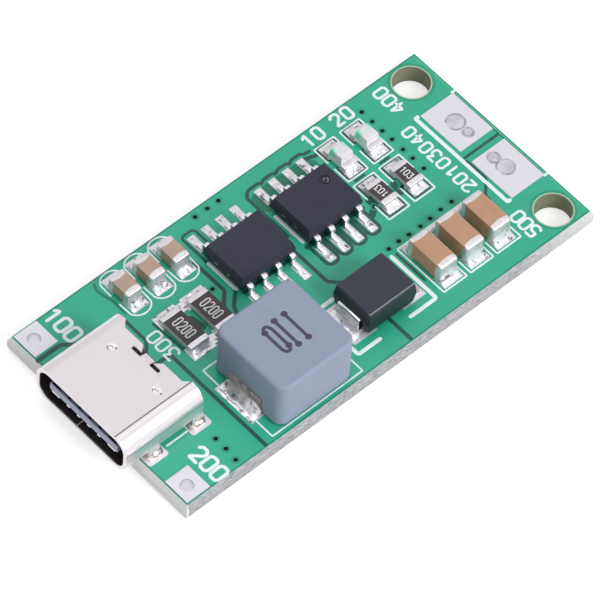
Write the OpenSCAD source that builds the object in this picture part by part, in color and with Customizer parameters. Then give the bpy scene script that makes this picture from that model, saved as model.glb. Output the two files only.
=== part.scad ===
// Charger module: a small circuit board with a plug socket at one end, two solder pads for the
// battery at the other, and the parts of a step-down charging circuit in two rows between them.
// Millimetres. The origin is the middle of the board's underside, +X runs from the socket to the
// battery pads, +Y to the edge with the two circuits, and +Z up out of the parts' side.

/* [Board] */
// Thickness of the board
board_thickness = 1.6; // [0.8:0.1:2.4]
// How far the snapped middle of a scored edge stands proud of the face
score_lip = 0.2; // [0:0.05:0.4]
// Thickness of the snapped web in the middle of the edge
score_web = 0.6; // [0.3:0.1:0.8]
// Bare strip between the near edge and the inductor
near_margin = 0.45; // [0.3:0.05:2]
// Gap between the inductor and the near lands of the circuits
row_gap = 1.05; // [0.6:0.05:3]
// Bare strip between the far lands of the circuits and the far edge
far_margin = 1.6; // [1.3:0.05:4]
// Length kept for holes and battery pads, beyond the last output capacitor
output_strip = 5.35; // [4.8:0.05:12]
// Diameter of the two fixing holes
fixing_hole = 2.7; // [2:0.1:3.2]
// Distance from a fixing hole's centre to the end of the board
fixing_end = 1.85; // [1.7:0.05:2.2]
// Distance from a fixing hole's centre to the long edge
fixing_inset = 1.7; // [1.6:0.05:2.2]
// Thickness of a tinned land on the board
land_thickness = 0.05; // [0.03:0.01:0.1]

/* [Wire pads] */
// Length of each input wire pad along the board
wire_pad_length = 2; // [1.6:0.1:2.4]
// Width of each input wire pad
wire_pad_width = 2.2; // [1.8:0.05:2.6]
// Bore of the plated wire hole
wire_hole = 1; // [0.6:0.1:1.2]
// Wall of the plated barrel in the wire hole
barrel_wall = 0.05; // [0.03:0.01:0.1]
// Length of each battery pad along the board
battery_pad_length = 3.05; // [2:0.05:4]
// Width of each battery pad
battery_pad_width = 4; // [3:0.1:4.3]
// Gap between the two battery pads
battery_pad_gap = 1.1; // [0.6:0.1:2]
// Bare strip between a wire pad and the edges of the board
pad_margin = 0.1; // [0.05:0.05:0.4]
// Bare strip between a battery pad and the end of the board
battery_pad_margin = 0.3; // [0.1:0.05:0.8]

/* [Socket] */
// Outside width of the shell
socket_width = 8.94; // [8.6:0.02:10]
// Outside height of the shell
socket_height = 3.26; // [3:0.02:4]
// Length of the shell
socket_length = 6.75; // [6:0.05:9]
// How far the mouth stands out over the end of the board
socket_overhang = 1.55; // [0:0.05:2.5]
// Radius of the shell's long edges, outside
socket_corner = 1.2; // [0.9:0.05:1.45]
// Wall of the shell
shell_wall = 0.3; // [0.2:0.05:0.4]
// Depth of the notch between the two rear ears
ear_length = 0.5; // [0.2:0.05:0.6]
// Width of each rear ear across the top, at its tip
ear_width = 1.15; // [0.8:0.05:1.6]
// Length of the strip between the rear edge and the closing slot
rear_strip = 0.5; // [0.3:0.05:0.8]
// Length of the closing slot, along the socket
relief_slot = 0.3; // [0.2:0.05:0.5]
// Width of the closing slot, across the socket
relief_width = 2.7; // [2:0.1:4]
// Width of the bent tab that crosses the slot
tab_width = 0.9; // [0.5:0.05:1.2]
// How far the bent tab reaches behind the slot
tab_length = 0.35; // [0.2:0.05:0.5]
// Gap on each side of the tab where it leaves the strip
tab_gap = 0.12; // [0.05:0.01:0.3]
// Gap between the tongue and the shell's inner wall, each side
tongue_side_gap = 0.8; // [0.6:0.05:1]
// Thickness of the tongue
tongue_thickness = 0.7; // [0.5:0.05:0.9]
// How far the tongue sits behind the mouth
tongue_recess = 0.2; // [0.1:0.1:1]
// Length of the tongue's thick root
tongue_root = 0.9; // [0.5:0.1:1.5]
// Step from the tongue out to its root, at the sides
root_side = 0.35; // [0.1:0.05:0.6]
// Step from the tongue out to its root, above and below
root_rise = 0.25; // [0.1:0.05:0.4]
// Open depth of the mouth
mouth_depth = 4.6; // [4:0.1:5]
// Distance from the mouth's back wall to the insulator's foot
foot_lead = 0.5; // [0.3:0.1:0.8]
// Gap between the insulator's foot and the shell
foot_gap = 0.1; // [0.05:0.05:0.3]
// Width of a shell leg along the board
leg_width = 0.9; // [0.6:0.1:1.2]
// Bare strip between the end of the board and the front legs' lands
leg_margin = 0.1; // [0.05:0.05:0.5]
// Clearance between a shell leg and its slot in the board
leg_clearance = 0.2; // [0.1:0.05:0.3]
// Tinned ring past the ends of each leg slot
leg_ring = 0.2; // [0.15:0.05:0.35]
// Tinned ring beside each leg slot
leg_ring_side = 0.35; // [0.15:0.05:0.5]
// Corner radius of a leg's land
leg_land_corner = 0.2; // [0.1:0.05:0.3]
// How far the contact tails run out behind the notch
tail_length = 0.9; // [0.4:0.05:1.2]
// How far a tail's land runs out beyond its tail
tail_land_reach = 0.2; // [0.1:0.05:0.4]
// Thickness of a contact
contact_thickness = 0.12; // [0.08:0.01:0.2]

/* [Inductor] */
// Length of the moulded block along the board
inductor_length = 6.7; // [5:0.05:8]
// Width of the moulded block
inductor_width = 6.75; // [5:0.05:8]
// Height of the moulded block
inductor_height = 4.1; // [2.5:0.1:6]
// Radius of its upright corners
inductor_corner = 0.8; // [0.5:0.1:1.5]
// Radius of its top edges
inductor_edge = 0.25; // [0.1:0.05:0.4]
// Width of an end terminal
terminal_width = 3.1; // [2:0.1:4]
// Height of an end terminal up the side of the block
terminal_height = 1.4; // [0.8:0.1:2]
// Thickness of an end terminal
terminal_thickness = 0.15; // [0.1:0.05:0.25]
// How far a terminal's foot reaches under the block
terminal_foot = 1.5; // [1:0.1:2]
// How far the land reaches out beyond the block
inductor_land_reach = 1.1; // [0.8:0.1:1.6]

/* [Circuits] */
// Length of a circuit's body along the board
circuit_length = 4.9; // [4.7:0.1:7]
// Width of a circuit's body between its rows of leads
circuit_width = 3.9; // [3:0.1:4.5]
// Height of a circuit's body
circuit_height = 1.42; // [1:0.02:2]
// Air under a circuit's body
circuit_standoff = 0.12; // [0.05:0.01:0.25]
// Draft of each half of a moulded body, as the inset at its face
circuit_draft = 0.17; // [0.05:0.01:0.3]
// Number of leads on each side
leads_per_side = 4; // [2:1:4]
// Spacing of the leads
lead_pitch = 1.27; // [1:0.01:1.27]
// Width of a lead
lead_width = 0.42; // [0.3:0.01:0.5]
// Thickness of a lead
lead_thickness = 0.2; // [0.12:0.01:0.25]
// How far a lead reaches out from the side of the body
lead_reach = 1.1; // [0.9:0.05:1.6]
// Inside radius of each bend in a lead
lead_bend = 0.1; // [0.05:0.01:0.15]
// Straight run of a lead out of the body
lead_stub = 0.18; // [0.1:0.01:0.3]
// Width of a lead's land
circuit_land_width = 0.62; // [0.5:0.02:0.8]
// Length of a lead's land
circuit_land_length = 1.5; // [1.2:0.1:2]
// How far a land runs out beyond the tip of its lead
circuit_land_reach = 0.8; // [0.5:0.05:1.2]
// Gap between the two circuits
circuit_gap = 1.17; // [0.8:0.01:2]
// Gap between the first circuit and the lands before it
circuit_lead_in = 0.85; // [0.5:0.05:2]

/* [Diode] */
// Length of the diode's body along the board
diode_length = 4.4; // [3.5:0.1:6]
// Width of the diode's body
diode_width = 3.6; // [2.5:0.1:5]
// Height of the diode's body
diode_height = 2.15; // [1.6:0.05:3]
// Draft of each half of the body
diode_draft = 0.14; // [0.05:0.01:0.3]
// Width of a folded lead
diode_lead_width = 2.1; // [1.5:0.1:2.4]
// Thickness of a folded lead
diode_lead_thickness = 0.18; // [0.1:0.02:0.25]
// How far a lead is folded back under the body
diode_foot = 1; // [0.7:0.1:1.4]
// How far each land reaches out beyond the body
diode_land_reach = 1.05; // [0.7:0.05:1.5]

/* [Capacitors] */
// Number of input capacitors
input_capacitors = 3; // [1:1:3]
// Length of an input capacitor, across the board
input_capacitor_length = 2; // [1.6:0.1:3.2]
// Width of an input capacitor
input_capacitor_width = 1.25; // [0.8:0.05:1.6]
// Height of an input capacitor
input_capacitor_height = 1.1; // [0.6:0.05:1.6]
// Gap between the lands of neighbouring input capacitors
input_capacitor_gap = 0.78; // [0.4:0.02:1.5]
// Number of output capacitors
output_capacitors = 3; // [1:1:4]
// Length of an output capacitor, across the board
output_capacitor_length = 3.2; // [2:0.1:4.5]
// Width of an output capacitor
output_capacitor_width = 1.6; // [1.2:0.05:2.5]
// Height of an output capacitor
output_capacitor_height = 1.55; // [0.8:0.05:2.5]
// Gap between the lands of neighbouring output capacitors
output_capacitor_gap = 0.75; // [0.4:0.05:1.5]
// Length of a capacitor's metal end
capacitor_end = 0.5; // [0.3:0.05:0.7]
// Thickness of the metal on a chip's end
end_metal = 0.03; // [0.02:0.01:0.06]

/* [Resistors] */
// Number of sense resistors
sense_resistors = 2; // [1:1:2]
// Length of a sense resistor, across the board
sense_resistor_length = 3.2; // [2:0.1:4]
// Width of a sense resistor
sense_resistor_width = 1.6; // [1.2:0.05:2.5]
// Height of a sense resistor
sense_resistor_height = 0.5; // [0.4:0.05:0.8]
// Gap between the lands of neighbouring sense resistors
sense_resistor_gap = 0.5; // [0.3:0.05:1]
// Width of the bare copper link between neighbouring sense resistors
sense_link = 0.75; // [0.4:0.05:1]
// Length of a lamp's resistor, across the board
lamp_resistor_length = 2; // [1.6:0.1:2.6]
// Width of a lamp's resistor
lamp_resistor_width = 1.25; // [0.8:0.05:1.6]
// Height of a lamp's resistor
lamp_resistor_height = 0.45; // [0.3:0.05:0.7]
// Length of a resistor's metal end
resistor_end = 0.4; // [0.2:0.05:0.6]
// Thickness of the black glaze on a resistor
glaze_thickness = 0.04; // [0.02:0.01:0.08]

/* [Lamps] */
// Number of indicator lamps, each with its own resistor
lamps = 2; // [1:1:3]
// Length of a lamp's base, across the board
lamp_length = 2; // [1.7:0.1:3]
// Width of a lamp's base
lamp_width = 1.25; // [0.8:0.05:1.6]
// Height of a lamp's base
lamp_base_height = 0.4; // [0.2:0.05:0.6]
// Length of the clear lens along the lamp
lens_length = 1.3; // [0.8:0.1:1.5]
// Height of the clear lens over the base
lens_height = 0.65; // [0.4:0.05:0.9]
// Draft of the lens
lens_draft = 0.1; // [0:0.02:0.15]
// Gap between neighbouring lamps
lamp_gap = 1; // [0.6:0.1:2]
// Gap between the second circuit and the first lamp
lamp_lead_in = 1.05; // [0.6:0.05:2]

/* [Lands and solder] */
// How far a capacitor's or a lamp's land reaches out beyond its end
land_reach = 0.6; // [0.4:0.05:0.9]
// How far a capacitor's or a lamp's land reaches in under it
land_under = 0.55; // [0.3:0.05:0.7]
// How much wider than its chip a land is, each side
land_side = 0.05; // [0:0.01:0.2]
// How far up a chip's end the solder climbs, as a share of its height
solder_climb = 0.6; // [0.3:0.05:0.9]
// How hollow a solder fillet is, as a share of the most its corners allow
solder_hollow = 0.8; // [0.1:0.1:0.9]

/* [Hidden] */
$fn = 36;
eps = 0.01;

green = [0.16, 0.62, 0.47];
tin = [0.83, 0.83, 0.86];
nickel = [0.86, 0.84, 0.84];
black = [0.1, 0.1, 0.11];
tan = [0.76, 0.58, 0.44];

// Chips, each as its length, width and height.
input_capacitor = [input_capacitor_length, input_capacitor_width, input_capacitor_height];
output_capacitor = [output_capacitor_length, output_capacitor_width, output_capacitor_height];
sense_resistor = [sense_resistor_length, sense_resistor_width, sense_resistor_height];
lamp_resistor = [lamp_resistor_length, lamp_resistor_width, lamp_resistor_height];
lamp_base = [lamp_length, lamp_width, lamp_base_height];

// Lands: what each kind of chip takes up on the board, over its own length and width.
sense_land_side = 0.17;
sense_land_reach = 0.6;
function land_run(chip, reach) = chip[0] + 2 * reach;
function land_w(chip, side) = chip[1] + 2 * side;
input_land_w = land_w(input_capacitor, land_side);
output_land_w = land_w(output_capacitor, land_side);
sense_land_w = land_w(sense_resistor, sense_land_side);
lamp_land_w = land_w(lamp_base, land_side);
resistor_land_w = land_w(lamp_resistor, land_side);
input_reach = 0.7;

// Along the board, from the socket end: the socket, then each row's parts one after another.
socket_rear = socket_length - socket_overhang;
row_start = socket_rear + 2.4;
inductor_x = row_start - 0.15 + inductor_land_reach + inductor_length / 2;
diode_x = inductor_x + inductor_length / 2 + inductor_land_reach + 0.55
          + diode_land_reach + diode_length / 2;
diode_land_end = diode_x + diode_length / 2 + diode_land_reach;
output_pitch = output_land_w + output_capacitor_gap;
function output_x(i) = diode_land_end + 1.2 + output_land_w / 2 + i * output_pitch;
output_end = output_x(output_capacitors - 1) + output_land_w / 2;
input_pitch = input_land_w + input_capacitor_gap;
function input_x(i) = row_start - 0.17 + input_land_w / 2 + i * input_pitch;
sense_pitch = sense_land_w + sense_resistor_gap;
function sense_x(i) = row_start + 0.37 + sense_land_w / 2 + i * sense_pitch;
front_parts_end = max(input_x(input_capacitors - 1) + input_land_w / 2,
                      sense_x(sense_resistors - 1) + sense_land_w / 2);
circuit_pitch = circuit_length + circuit_gap;
function circuit_x(i) = front_parts_end + circuit_lead_in + circuit_length / 2 + i * circuit_pitch;
lamp_column = max(lamp_land_w, resistor_land_w);
lamp_pitch = lamp_column + lamp_gap;
function lamp_x(i) = circuit_x(1) + circuit_length / 2 + lamp_lead_in + lamp_column / 2
                     + i * lamp_pitch;
lamp_end = lamp_x(lamps - 1) + lamp_column / 2;
board_length = max(output_end, lamp_end) + output_strip;

// Across the board, from the near edge: the inductor's row, then the circuits' row.
near_row = near_margin + inductor_width / 2;
chip_row = near_row + 0.05;
inductor_far = near_margin + inductor_width;
circuit_land_out = lead_reach + circuit_land_reach;
circuit_run = circuit_width + 2 * circuit_land_out;
circuit_y = inductor_far + row_gap + circuit_run / 2;
sense_y = inductor_far + row_gap - 0.1 + land_run(sense_resistor, sense_land_reach) / 2;
board_width = circuit_y + circuit_run / 2 + far_margin;
input_y = board_width - 0.5 - land_run(input_capacitor, input_reach) / 2;
resistor_y = inductor_far + row_gap + 0.3 + land_run(lamp_resistor, land_reach) / 2;
lamp_y = resistor_y + land_run(lamp_resistor, land_reach) / 2 + 0.8
         + land_run(lamp_base, land_reach) / 2;
fixing_spacing = board_width - 2 * fixing_inset;
wire_hole_inset = pad_margin + wire_pad_length / 2 - 0.1;

// The socket's parts, from its mouth and from the board's face.
leg_slot = [leg_width + 2 * leg_clearance, shell_wall + 2 * leg_clearance];
leg_places = [socket_overhang + leg_margin + leg_ring + leg_slot[0] / 2,
              socket_length - leg_width / 2];
leg_side = socket_width / 2 - shell_wall / 2;
socket_notch = socket_length - ear_length;
insulator_end = socket_notch - foot_gap;
insulator_foot = mouth_depth + foot_lead;
tongue_z = socket_height / 2;
tongue_width = socket_width - 2 * (shell_wall + tongue_side_gap);
// Middle and width of each contact and of its tail, outermost last and the same on both sides, as
// shares of the tongue's width.
contact_places = tongue_width * [[0.075, 0.045], [0.225, 0.045], [0.41, 0.115]];
tail_widths = tongue_width * [0.104, 0.113, 0.115];

// Puts a part on the board's face, from the socket end and the near edge.
module at(x, y, lift = 0)
  translate([x - board_length / 2, y - board_width / 2, board_thickness + lift]) children();

// A block that stands on its place, centred over it.
module block(l, w, h) translate([-l / 2, -w / 2, 0]) cube([l, w, h]);

// A rectangle with round corners, centred.
module rounded(l, w, r) {
  square([l - 2 * r, w], center = true);
  square([l, w - 2 * r], center = true);
  for (sx = [-1, 1], sy = [-1, 1]) translate([sx * (l / 2 - r), sy * (w / 2 - r)]) circle(r);
}

// A slot with round ends, centred.
module slot(l, w) {
  square([l - w, w], center = true);
  for (s = [-1, 1]) translate([s * (l - w) / 2, 0]) circle(w / 2);
}

// A rectangle with round corners.
module round_cornered(l, w, r) {
  square([l - 2 * r, w], center = true);
  square([l, w - 2 * r], center = true);
  for (x = [-1, 1], y = [-1, 1]) translate([x * (l / 2 - r), y * (w / 2 - r)]) circle(r);
}

// Half of a section with its top edge rounded off, and the whole of it.
module crowned_half(half, h, r) {
  square([half, h - r]);
  square([half - r, h]);
  translate([half - r, h - r]) circle(r);
}
module crowned(w, h, r) for (m = [0, 1]) mirror([m, 0]) crowned_half(w / 2, h, r);

// A moulded block with round upright corners and round top edges.
module crowned_block(l, w, h, corner, edge) {
  for (sx = [-1, 1], sy = [-1, 1])
    translate([sx * (l / 2 - corner), sy * (w / 2 - corner), 0])
      rotate_extrude() crowned_half(corner, h, edge);
  rotate([90, 0, 90]) translate([0, 0, -(l / 2 - corner)])
    linear_extrude(l - 2 * corner) crowned(w, h, edge);
  rotate([90, 0, 0]) translate([0, 0, -(w / 2 - corner)])
    linear_extrude(w - 2 * corner) crowned(l, h, edge);
}

// Section of a body moulded in two halves, widest in the band where the leads come out.
module drafted(w, h, band, inset)
  polygon([for (m = [-1, 1]) each [for (p = [[inset, 0], [0, (h - band) / 2], [0, (h + band) / 2], [inset, h]])
             [m * (w / 2 - p[0]), m < 0 ? p[1] : h - p[1]]]]);
module drafted_block(l, w, h, band, inset)
  intersection() {
    rotate([90, 0, 90]) translate([0, 0, -l / 2]) linear_extrude(l) drafted(w, h, band, inset);
    rotate([90, 0, 0]) translate([0, 0, -w / 2]) linear_extrude(w) drafted(l, h, band, inset);
  }

// A quarter of a bent strip: inside radius r, thickness t, in the quadrant that sx and sy name.
module bend(r, t, sx, sy)
  intersection() {
    difference() { circle(r + t); circle(r); }
    translate([sx > 0 ? 0 : -(r + t), sy > 0 ? 0 : -(r + t)]) square(r + t);
  }

// Hollow section of a solder fillet that climbs h up a wall and runs l along a land. The arc
// leaves both ends at an angle that stays inside the sharper corner.
module fillet(l, h) {
  slope = sqrt(l * l + h * h);
  r = slope / 2 / sin(solder_hollow * atan2(min(l, h), max(l, h)));
  sag = r - sqrt(r * r - slope * slope / 4);
  difference() {
    polygon([[0, 0], [l, 0], [0, h]]);
    translate([l / 2 + h / slope * (r - sag), h / 2 + l / slope * (r - sag)]) circle(r, $fn = 96);
  }
}
// The same along a wall of width w that faces +X.
module fillet_wall(l, h, w)
  rotate([90, 0, 0]) translate([0, 0, -w / 2]) linear_extrude(w) fillet(l, h);

// Runs its children at both ends of a chip that lies along Y: the outward way is +X for them.
module both_ends(run) for (s = [90, -90]) rotate([0, 0, s]) translate([run / 2, 0, 0]) children();

// Board: four scored and snapped edges, fixing holes, plated wire holes and the leg slots.
module board_section(run)
  polygon([[-run / 2, 0], [run / 2, 0],
           [run / 2 + score_lip, (board_thickness - score_web) / 2],
           [run / 2 + score_lip, (board_thickness + score_web) / 2],
           [run / 2, board_thickness], [-run / 2, board_thickness],
           [-run / 2 - score_lip, (board_thickness + score_web) / 2],
           [-run / 2 - score_lip, (board_thickness - score_web) / 2]]);
module circuit_board() color(green) {
  reach = max(board_length, board_width) + 4;
  difference() {
    intersection() {
      rotate([90, 0, 90]) translate([0, 0, -reach / 2]) linear_extrude(reach) board_section(board_width);
      rotate([90, 0, 0]) translate([0, 0, -reach / 2]) linear_extrude(reach) board_section(board_length);
    }
    for (s = [-1, 1])
      translate([board_length / 2 - fixing_end, s * fixing_spacing / 2, -1])
        cylinder(h = board_thickness + 2, d = fixing_hole);
    for (far = [0, 1]) at(wire_hole_inset, wire_hole_y(far), -board_thickness) {
      translate([0, 0, -1]) cylinder(h = board_thickness + 2, d = wire_hole + 2 * barrel_wall);
      translate([wire_pad_shift, (far ? -1 : 1) * wire_pad_skew, -eps])
        block(wire_pad_length, wire_pad_width, land_thickness + eps);
    }
    for (x = leg_places, s = [-1, 1])
      at(x - socket_overhang, board_width / 2 + s * leg_side, -board_thickness - 1)
        linear_extrude(board_thickness + 2) slot(leg_slot[0], leg_slot[1]);
  }
}

// Input wire pads: a barrel through the board with a square land on both faces.
wire_pad_shift = pad_margin + wire_pad_length / 2 - wire_hole_inset;
wire_pad_skew = 0.05;
function wire_hole_y(far) = far
  ? board_width - pad_margin - wire_pad_width / 2 + wire_pad_skew
  : pad_margin + wire_pad_width / 2 - wire_pad_skew;
module wire_pad(far) color(tin)
  at(wire_hole_inset, wire_hole_y(far), -board_thickness) difference() {
    union() {
      cylinder(h = board_thickness + land_thickness, d = wire_hole + 2 * barrel_wall);
      for (z = [0, board_thickness]) translate([wire_pad_shift, (far ? -1 : 1) * wire_pad_skew, z])
        block(wire_pad_length, wire_pad_width, land_thickness);
    }
    translate([0, 0, -1]) cylinder(h = board_thickness + 3, d = wire_hole);
  }
module wire_pad_far() wire_pad(true);
module wire_pad_near() wire_pad(false);

// Battery pads: two bare tinned lands at the output end.
module battery_pad(side) color(tin)
  at(board_length - battery_pad_margin - battery_pad_length / 2,
     board_width / 2 + side * (battery_pad_gap + battery_pad_width) / 2)
    block(battery_pad_length, battery_pad_width, land_thickness);
module battery_pad_far() battery_pad(1);
module battery_pad_near() battery_pad(-1);

// Lands of a chip that lies across the board, one under each end.
module chip_lands(x, y, chip, reach, under, w) color(tin)
  at(x, y) both_ends(chip[0]) translate([(reach - under) / 2, 0, 0])
    block(reach + under, w, land_thickness);
module input_capacitor_lands() for (i = [0 : input_capacitors - 1])
  chip_lands(input_x(i), input_y, input_capacitor, input_reach, land_under, input_land_w);
module output_capacitor_lands() for (i = [0 : output_capacitors - 1])
  chip_lands(output_x(i), chip_row, output_capacitor, land_reach, land_under, output_land_w);
module sense_resistor_lands() {
  for (i = [0 : sense_resistors - 1])
    chip_lands(sense_x(i), sense_y, sense_resistor, sense_land_reach, land_under, sense_land_w);
  // Bare links that join the lands of neighbours.
  if (sense_resistors > 1) for (i = [1 : sense_resistors - 1]) color(tin)
    at(sense_x(i) - sense_pitch / 2, sense_y) both_ends(sense_resistor[0])
      translate([(sense_land_reach - land_under) / 2, 0, 0])
        block(sense_link, sense_resistor_gap + 2 * eps, land_thickness);
}
module lamp_lands() for (i = [0 : lamps - 1])
  chip_lands(lamp_x(i), lamp_y, lamp_base, land_reach, land_under, lamp_land_w);
module lamp_resistor_lands() for (i = [0 : lamps - 1])
  chip_lands(lamp_x(i), resistor_y, lamp_resistor, land_reach, land_under, resistor_land_w);

// Solder at both ends of a chip, from the end's metal out to the end of the land.
module chip_solder(x, y, chip, reach, climb) color(tin)
  at(x, y, land_thickness) both_ends(chip[0] + 2 * end_metal)
    fillet_wall(reach - end_metal, climb * chip[2], chip[1]);
module input_capacitor_solder() for (i = [0 : input_capacitors - 1])
  chip_solder(input_x(i), input_y, input_capacitor, input_reach, solder_climb);
module output_capacitor_solder() for (i = [0 : output_capacitors - 1])
  chip_solder(output_x(i), chip_row, output_capacitor, land_reach, solder_climb);
module sense_resistor_solder() for (i = [0 : sense_resistors - 1])
  chip_solder(sense_x(i), sense_y, sense_resistor, sense_land_reach, solder_climb);
module lamp_solder() for (i = [0 : lamps - 1])
  chip_solder(lamp_x(i), lamp_y, lamp_base, land_reach, solder_climb);
module lamp_resistor_solder() for (i = [0 : lamps - 1])
  chip_solder(lamp_x(i), resistor_y, lamp_resistor, land_reach, solder_climb);

// A chip's body, and the metal cup over each of its ends.
module chip_body(x, y, chip) at(x, y, land_thickness + end_metal)
  block(chip[1], chip[0], chip[2]);
module chip_ends(x, y, chip, end) color(tin) at(x, y, land_thickness) both_ends(chip[0])
  difference() {
    translate([end_metal - (end + end_metal) / 2, 0, 0])
      block(end + end_metal, chip[1] + 2 * end_metal, chip[2] + 2 * end_metal);
    translate([-chip[0] / 2, 0, end_metal]) block(chip[0], chip[1], chip[2]);
  }

// Capacitors: tan ceramic blocks with metal ends.
module input_capacitor_bodies() color(tan) for (i = [0 : input_capacitors - 1])
  chip_body(input_x(i), input_y, input_capacitor);
module input_capacitor_ends() for (i = [0 : input_capacitors - 1])
  chip_ends(input_x(i), input_y, input_capacitor, capacitor_end);
module output_capacitor_bodies() color(tan) for (i = [0 : output_capacitors - 1])
  chip_body(output_x(i), chip_row, output_capacitor);
module output_capacitor_ends() for (i = [0 : output_capacitors - 1])
  chip_ends(output_x(i), chip_row, output_capacitor, capacitor_end);

// Resistors: white ceramic with metal ends and a black glaze between them on top.
module glaze(x, y, chip) color(black) at(x, y, land_thickness + end_metal + chip[2])
  block(chip[1], chip[0] - 2 * resistor_end, glaze_thickness);
module sense_resistor_bodies() color("white") for (i = [0 : sense_resistors - 1])
  chip_body(sense_x(i), sense_y, sense_resistor);
module sense_resistor_glazes() for (i = [0 : sense_resistors - 1])
  glaze(sense_x(i), sense_y, sense_resistor);
module sense_resistor_ends() for (i = [0 : sense_resistors - 1])
  chip_ends(sense_x(i), sense_y, sense_resistor, resistor_end);
module lamp_resistor_bodies() color("white") for (i = [0 : lamps - 1])
  chip_body(lamp_x(i), resistor_y, lamp_resistor);
module lamp_resistor_glazes() for (i = [0 : lamps - 1])
  glaze(lamp_x(i), resistor_y, lamp_resistor);
module lamp_resistor_ends() for (i = [0 : lamps - 1])
  chip_ends(lamp_x(i), resistor_y, lamp_resistor, resistor_end);

// Lamps: a flat base with metal ends and a clear lens moulded on its middle.
lamp_end_length = (lamp_base[0] - lens_length) / 2;
module lamp_bases() color([0.85, 0.95, 0.9]) for (i = [0 : lamps - 1])
  chip_body(lamp_x(i), lamp_y, lamp_base);
module lamp_ends() for (i = [0 : lamps - 1])
  chip_ends(lamp_x(i), lamp_y, lamp_base, lamp_end_length);
module lamp_lenses() color([0.95, 0.98, 1]) for (i = [0 : lamps - 1])
  at(lamp_x(i), lamp_y, land_thickness + end_metal + lamp_base[2])
    rotate([90, 0, 0]) translate([0, 0, -lens_length / 2]) intersection() {
      linear_extrude(lens_length)
        polygon([[-lamp_base[1] / 2, 0], [lamp_base[1] / 2, 0],
                 [lamp_base[1] / 2 - lens_draft, lens_height],
                 [-lamp_base[1] / 2 + lens_draft, lens_height]]);
      translate([lamp_base[1], 0, lens_length / 2]) rotate([0, -90, 0])
        linear_extrude(2 * lamp_base[1])
          polygon([[-lens_length / 2, 0], [lens_length / 2, 0],
                   [lens_length / 2 - lens_draft, lens_height],
                   [-lens_length / 2 + lens_draft, lens_height]]);
    }

// Circuits: a drafted moulding with a row of gull-wing leads along each long side.
lead_rise = circuit_standoff + (circuit_height - lead_thickness) / 2;
module circuit_body(i) color([0.2, 0.2, 0.23]) at(circuit_x(i), circuit_y, land_thickness + circuit_standoff)
  drafted_block(circuit_length, circuit_width, circuit_height, lead_thickness, circuit_draft);
module converter_body() circuit_body(0);
module charger_body() difference() {
  circuit_body(1);
  at(circuit_x(1) + circuit_length * 0.3, circuit_y + circuit_width * 0.2,
     land_thickness + circuit_standoff + circuit_height - 0.06)
    cylinder(h = 1, d = 0.6);
}
module gull_wing() {
  inner = lead_stub + lead_bend;
  toe = inner + lead_thickness + lead_bend;
  translate([0, lead_rise]) square([lead_stub, lead_thickness]);
  translate([lead_stub, lead_rise - lead_bend]) bend(lead_bend, lead_thickness, 1, 1);
  translate([inner, lead_bend + lead_thickness])
    square([lead_thickness, lead_rise - 2 * lead_bend - lead_thickness]);
  translate([toe, lead_bend + lead_thickness]) bend(lead_bend, lead_thickness, -1, -1);
  translate([toe, 0]) square([lead_reach - toe, lead_thickness]);
}
module each_lead(i) for (k = [0 : leads_per_side - 1])
  at(circuit_x(i) + (k - (leads_per_side - 1) / 2) * lead_pitch, circuit_y, land_thickness)
    both_ends(circuit_width) children();
module circuit_leads(i) color(tin) each_lead(i)
  rotate([90, 0, 0]) translate([0, 0, -lead_width / 2]) linear_extrude(lead_width) gull_wing();
module converter_leads() circuit_leads(0);
module charger_leads() circuit_leads(1);
module circuit_lands() color(tin) for (i = [0, 1]) each_lead(i)
  translate([circuit_land_out - circuit_land_length / 2, 0, -land_thickness])
    block(circuit_land_length, circuit_land_width, land_thickness);
module circuit_solder() color(tin) for (i = [0, 1]) each_lead(i)
  translate([lead_reach, 0, 0])
    fillet_wall(0.7 * circuit_land_reach, lead_thickness, lead_width);

// Diode: a drafted moulding with flat leads that come out at its ends and fold back under it.
diode_rise = (diode_height + diode_lead_thickness) / 2;
diode_stub = 0.06;
diode_bend = 0.06;
diode_lead_out = diode_stub + diode_bend + diode_lead_thickness;
module diode_body() color([0.2, 0.2, 0.22]) at(diode_x, chip_row, land_thickness + diode_lead_thickness)
  drafted_block(diode_length, diode_width, diode_height, diode_lead_thickness, diode_draft);
module folded_lead() {
  t = diode_lead_thickness;
  translate([0, diode_rise]) square([diode_stub, t]);
  translate([diode_stub, diode_rise - diode_bend]) bend(diode_bend, t, 1, 1);
  translate([diode_stub + diode_bend, diode_bend + t]) square([t, diode_rise - 2 * diode_bend - t]);
  translate([diode_stub, diode_bend + t]) bend(diode_bend, t, 1, -1);
  translate([-diode_foot, 0]) square([diode_foot + diode_stub, t]);
}
module diode_ends() at(diode_x, chip_row, land_thickness) for (s = [0, 180]) rotate([0, 0, s])
  translate([diode_length / 2, 0, 0]) children();
module diode_leads() color(tin) diode_ends()
  rotate([90, 0, 0]) translate([0, 0, -diode_lead_width / 2])
    linear_extrude(diode_lead_width) folded_lead();
module diode_lands() color(tin) diode_ends()
  translate([(diode_land_reach - diode_foot) / 2, 0, -land_thickness])
    block(diode_land_reach + diode_foot, diode_width - 0.3, land_thickness);
module diode_solder() color(tin) diode_ends() translate([diode_lead_out, 0, 0])
  fillet_wall(diode_land_reach - diode_lead_out, solder_climb * diode_rise, diode_lead_width);

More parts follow.
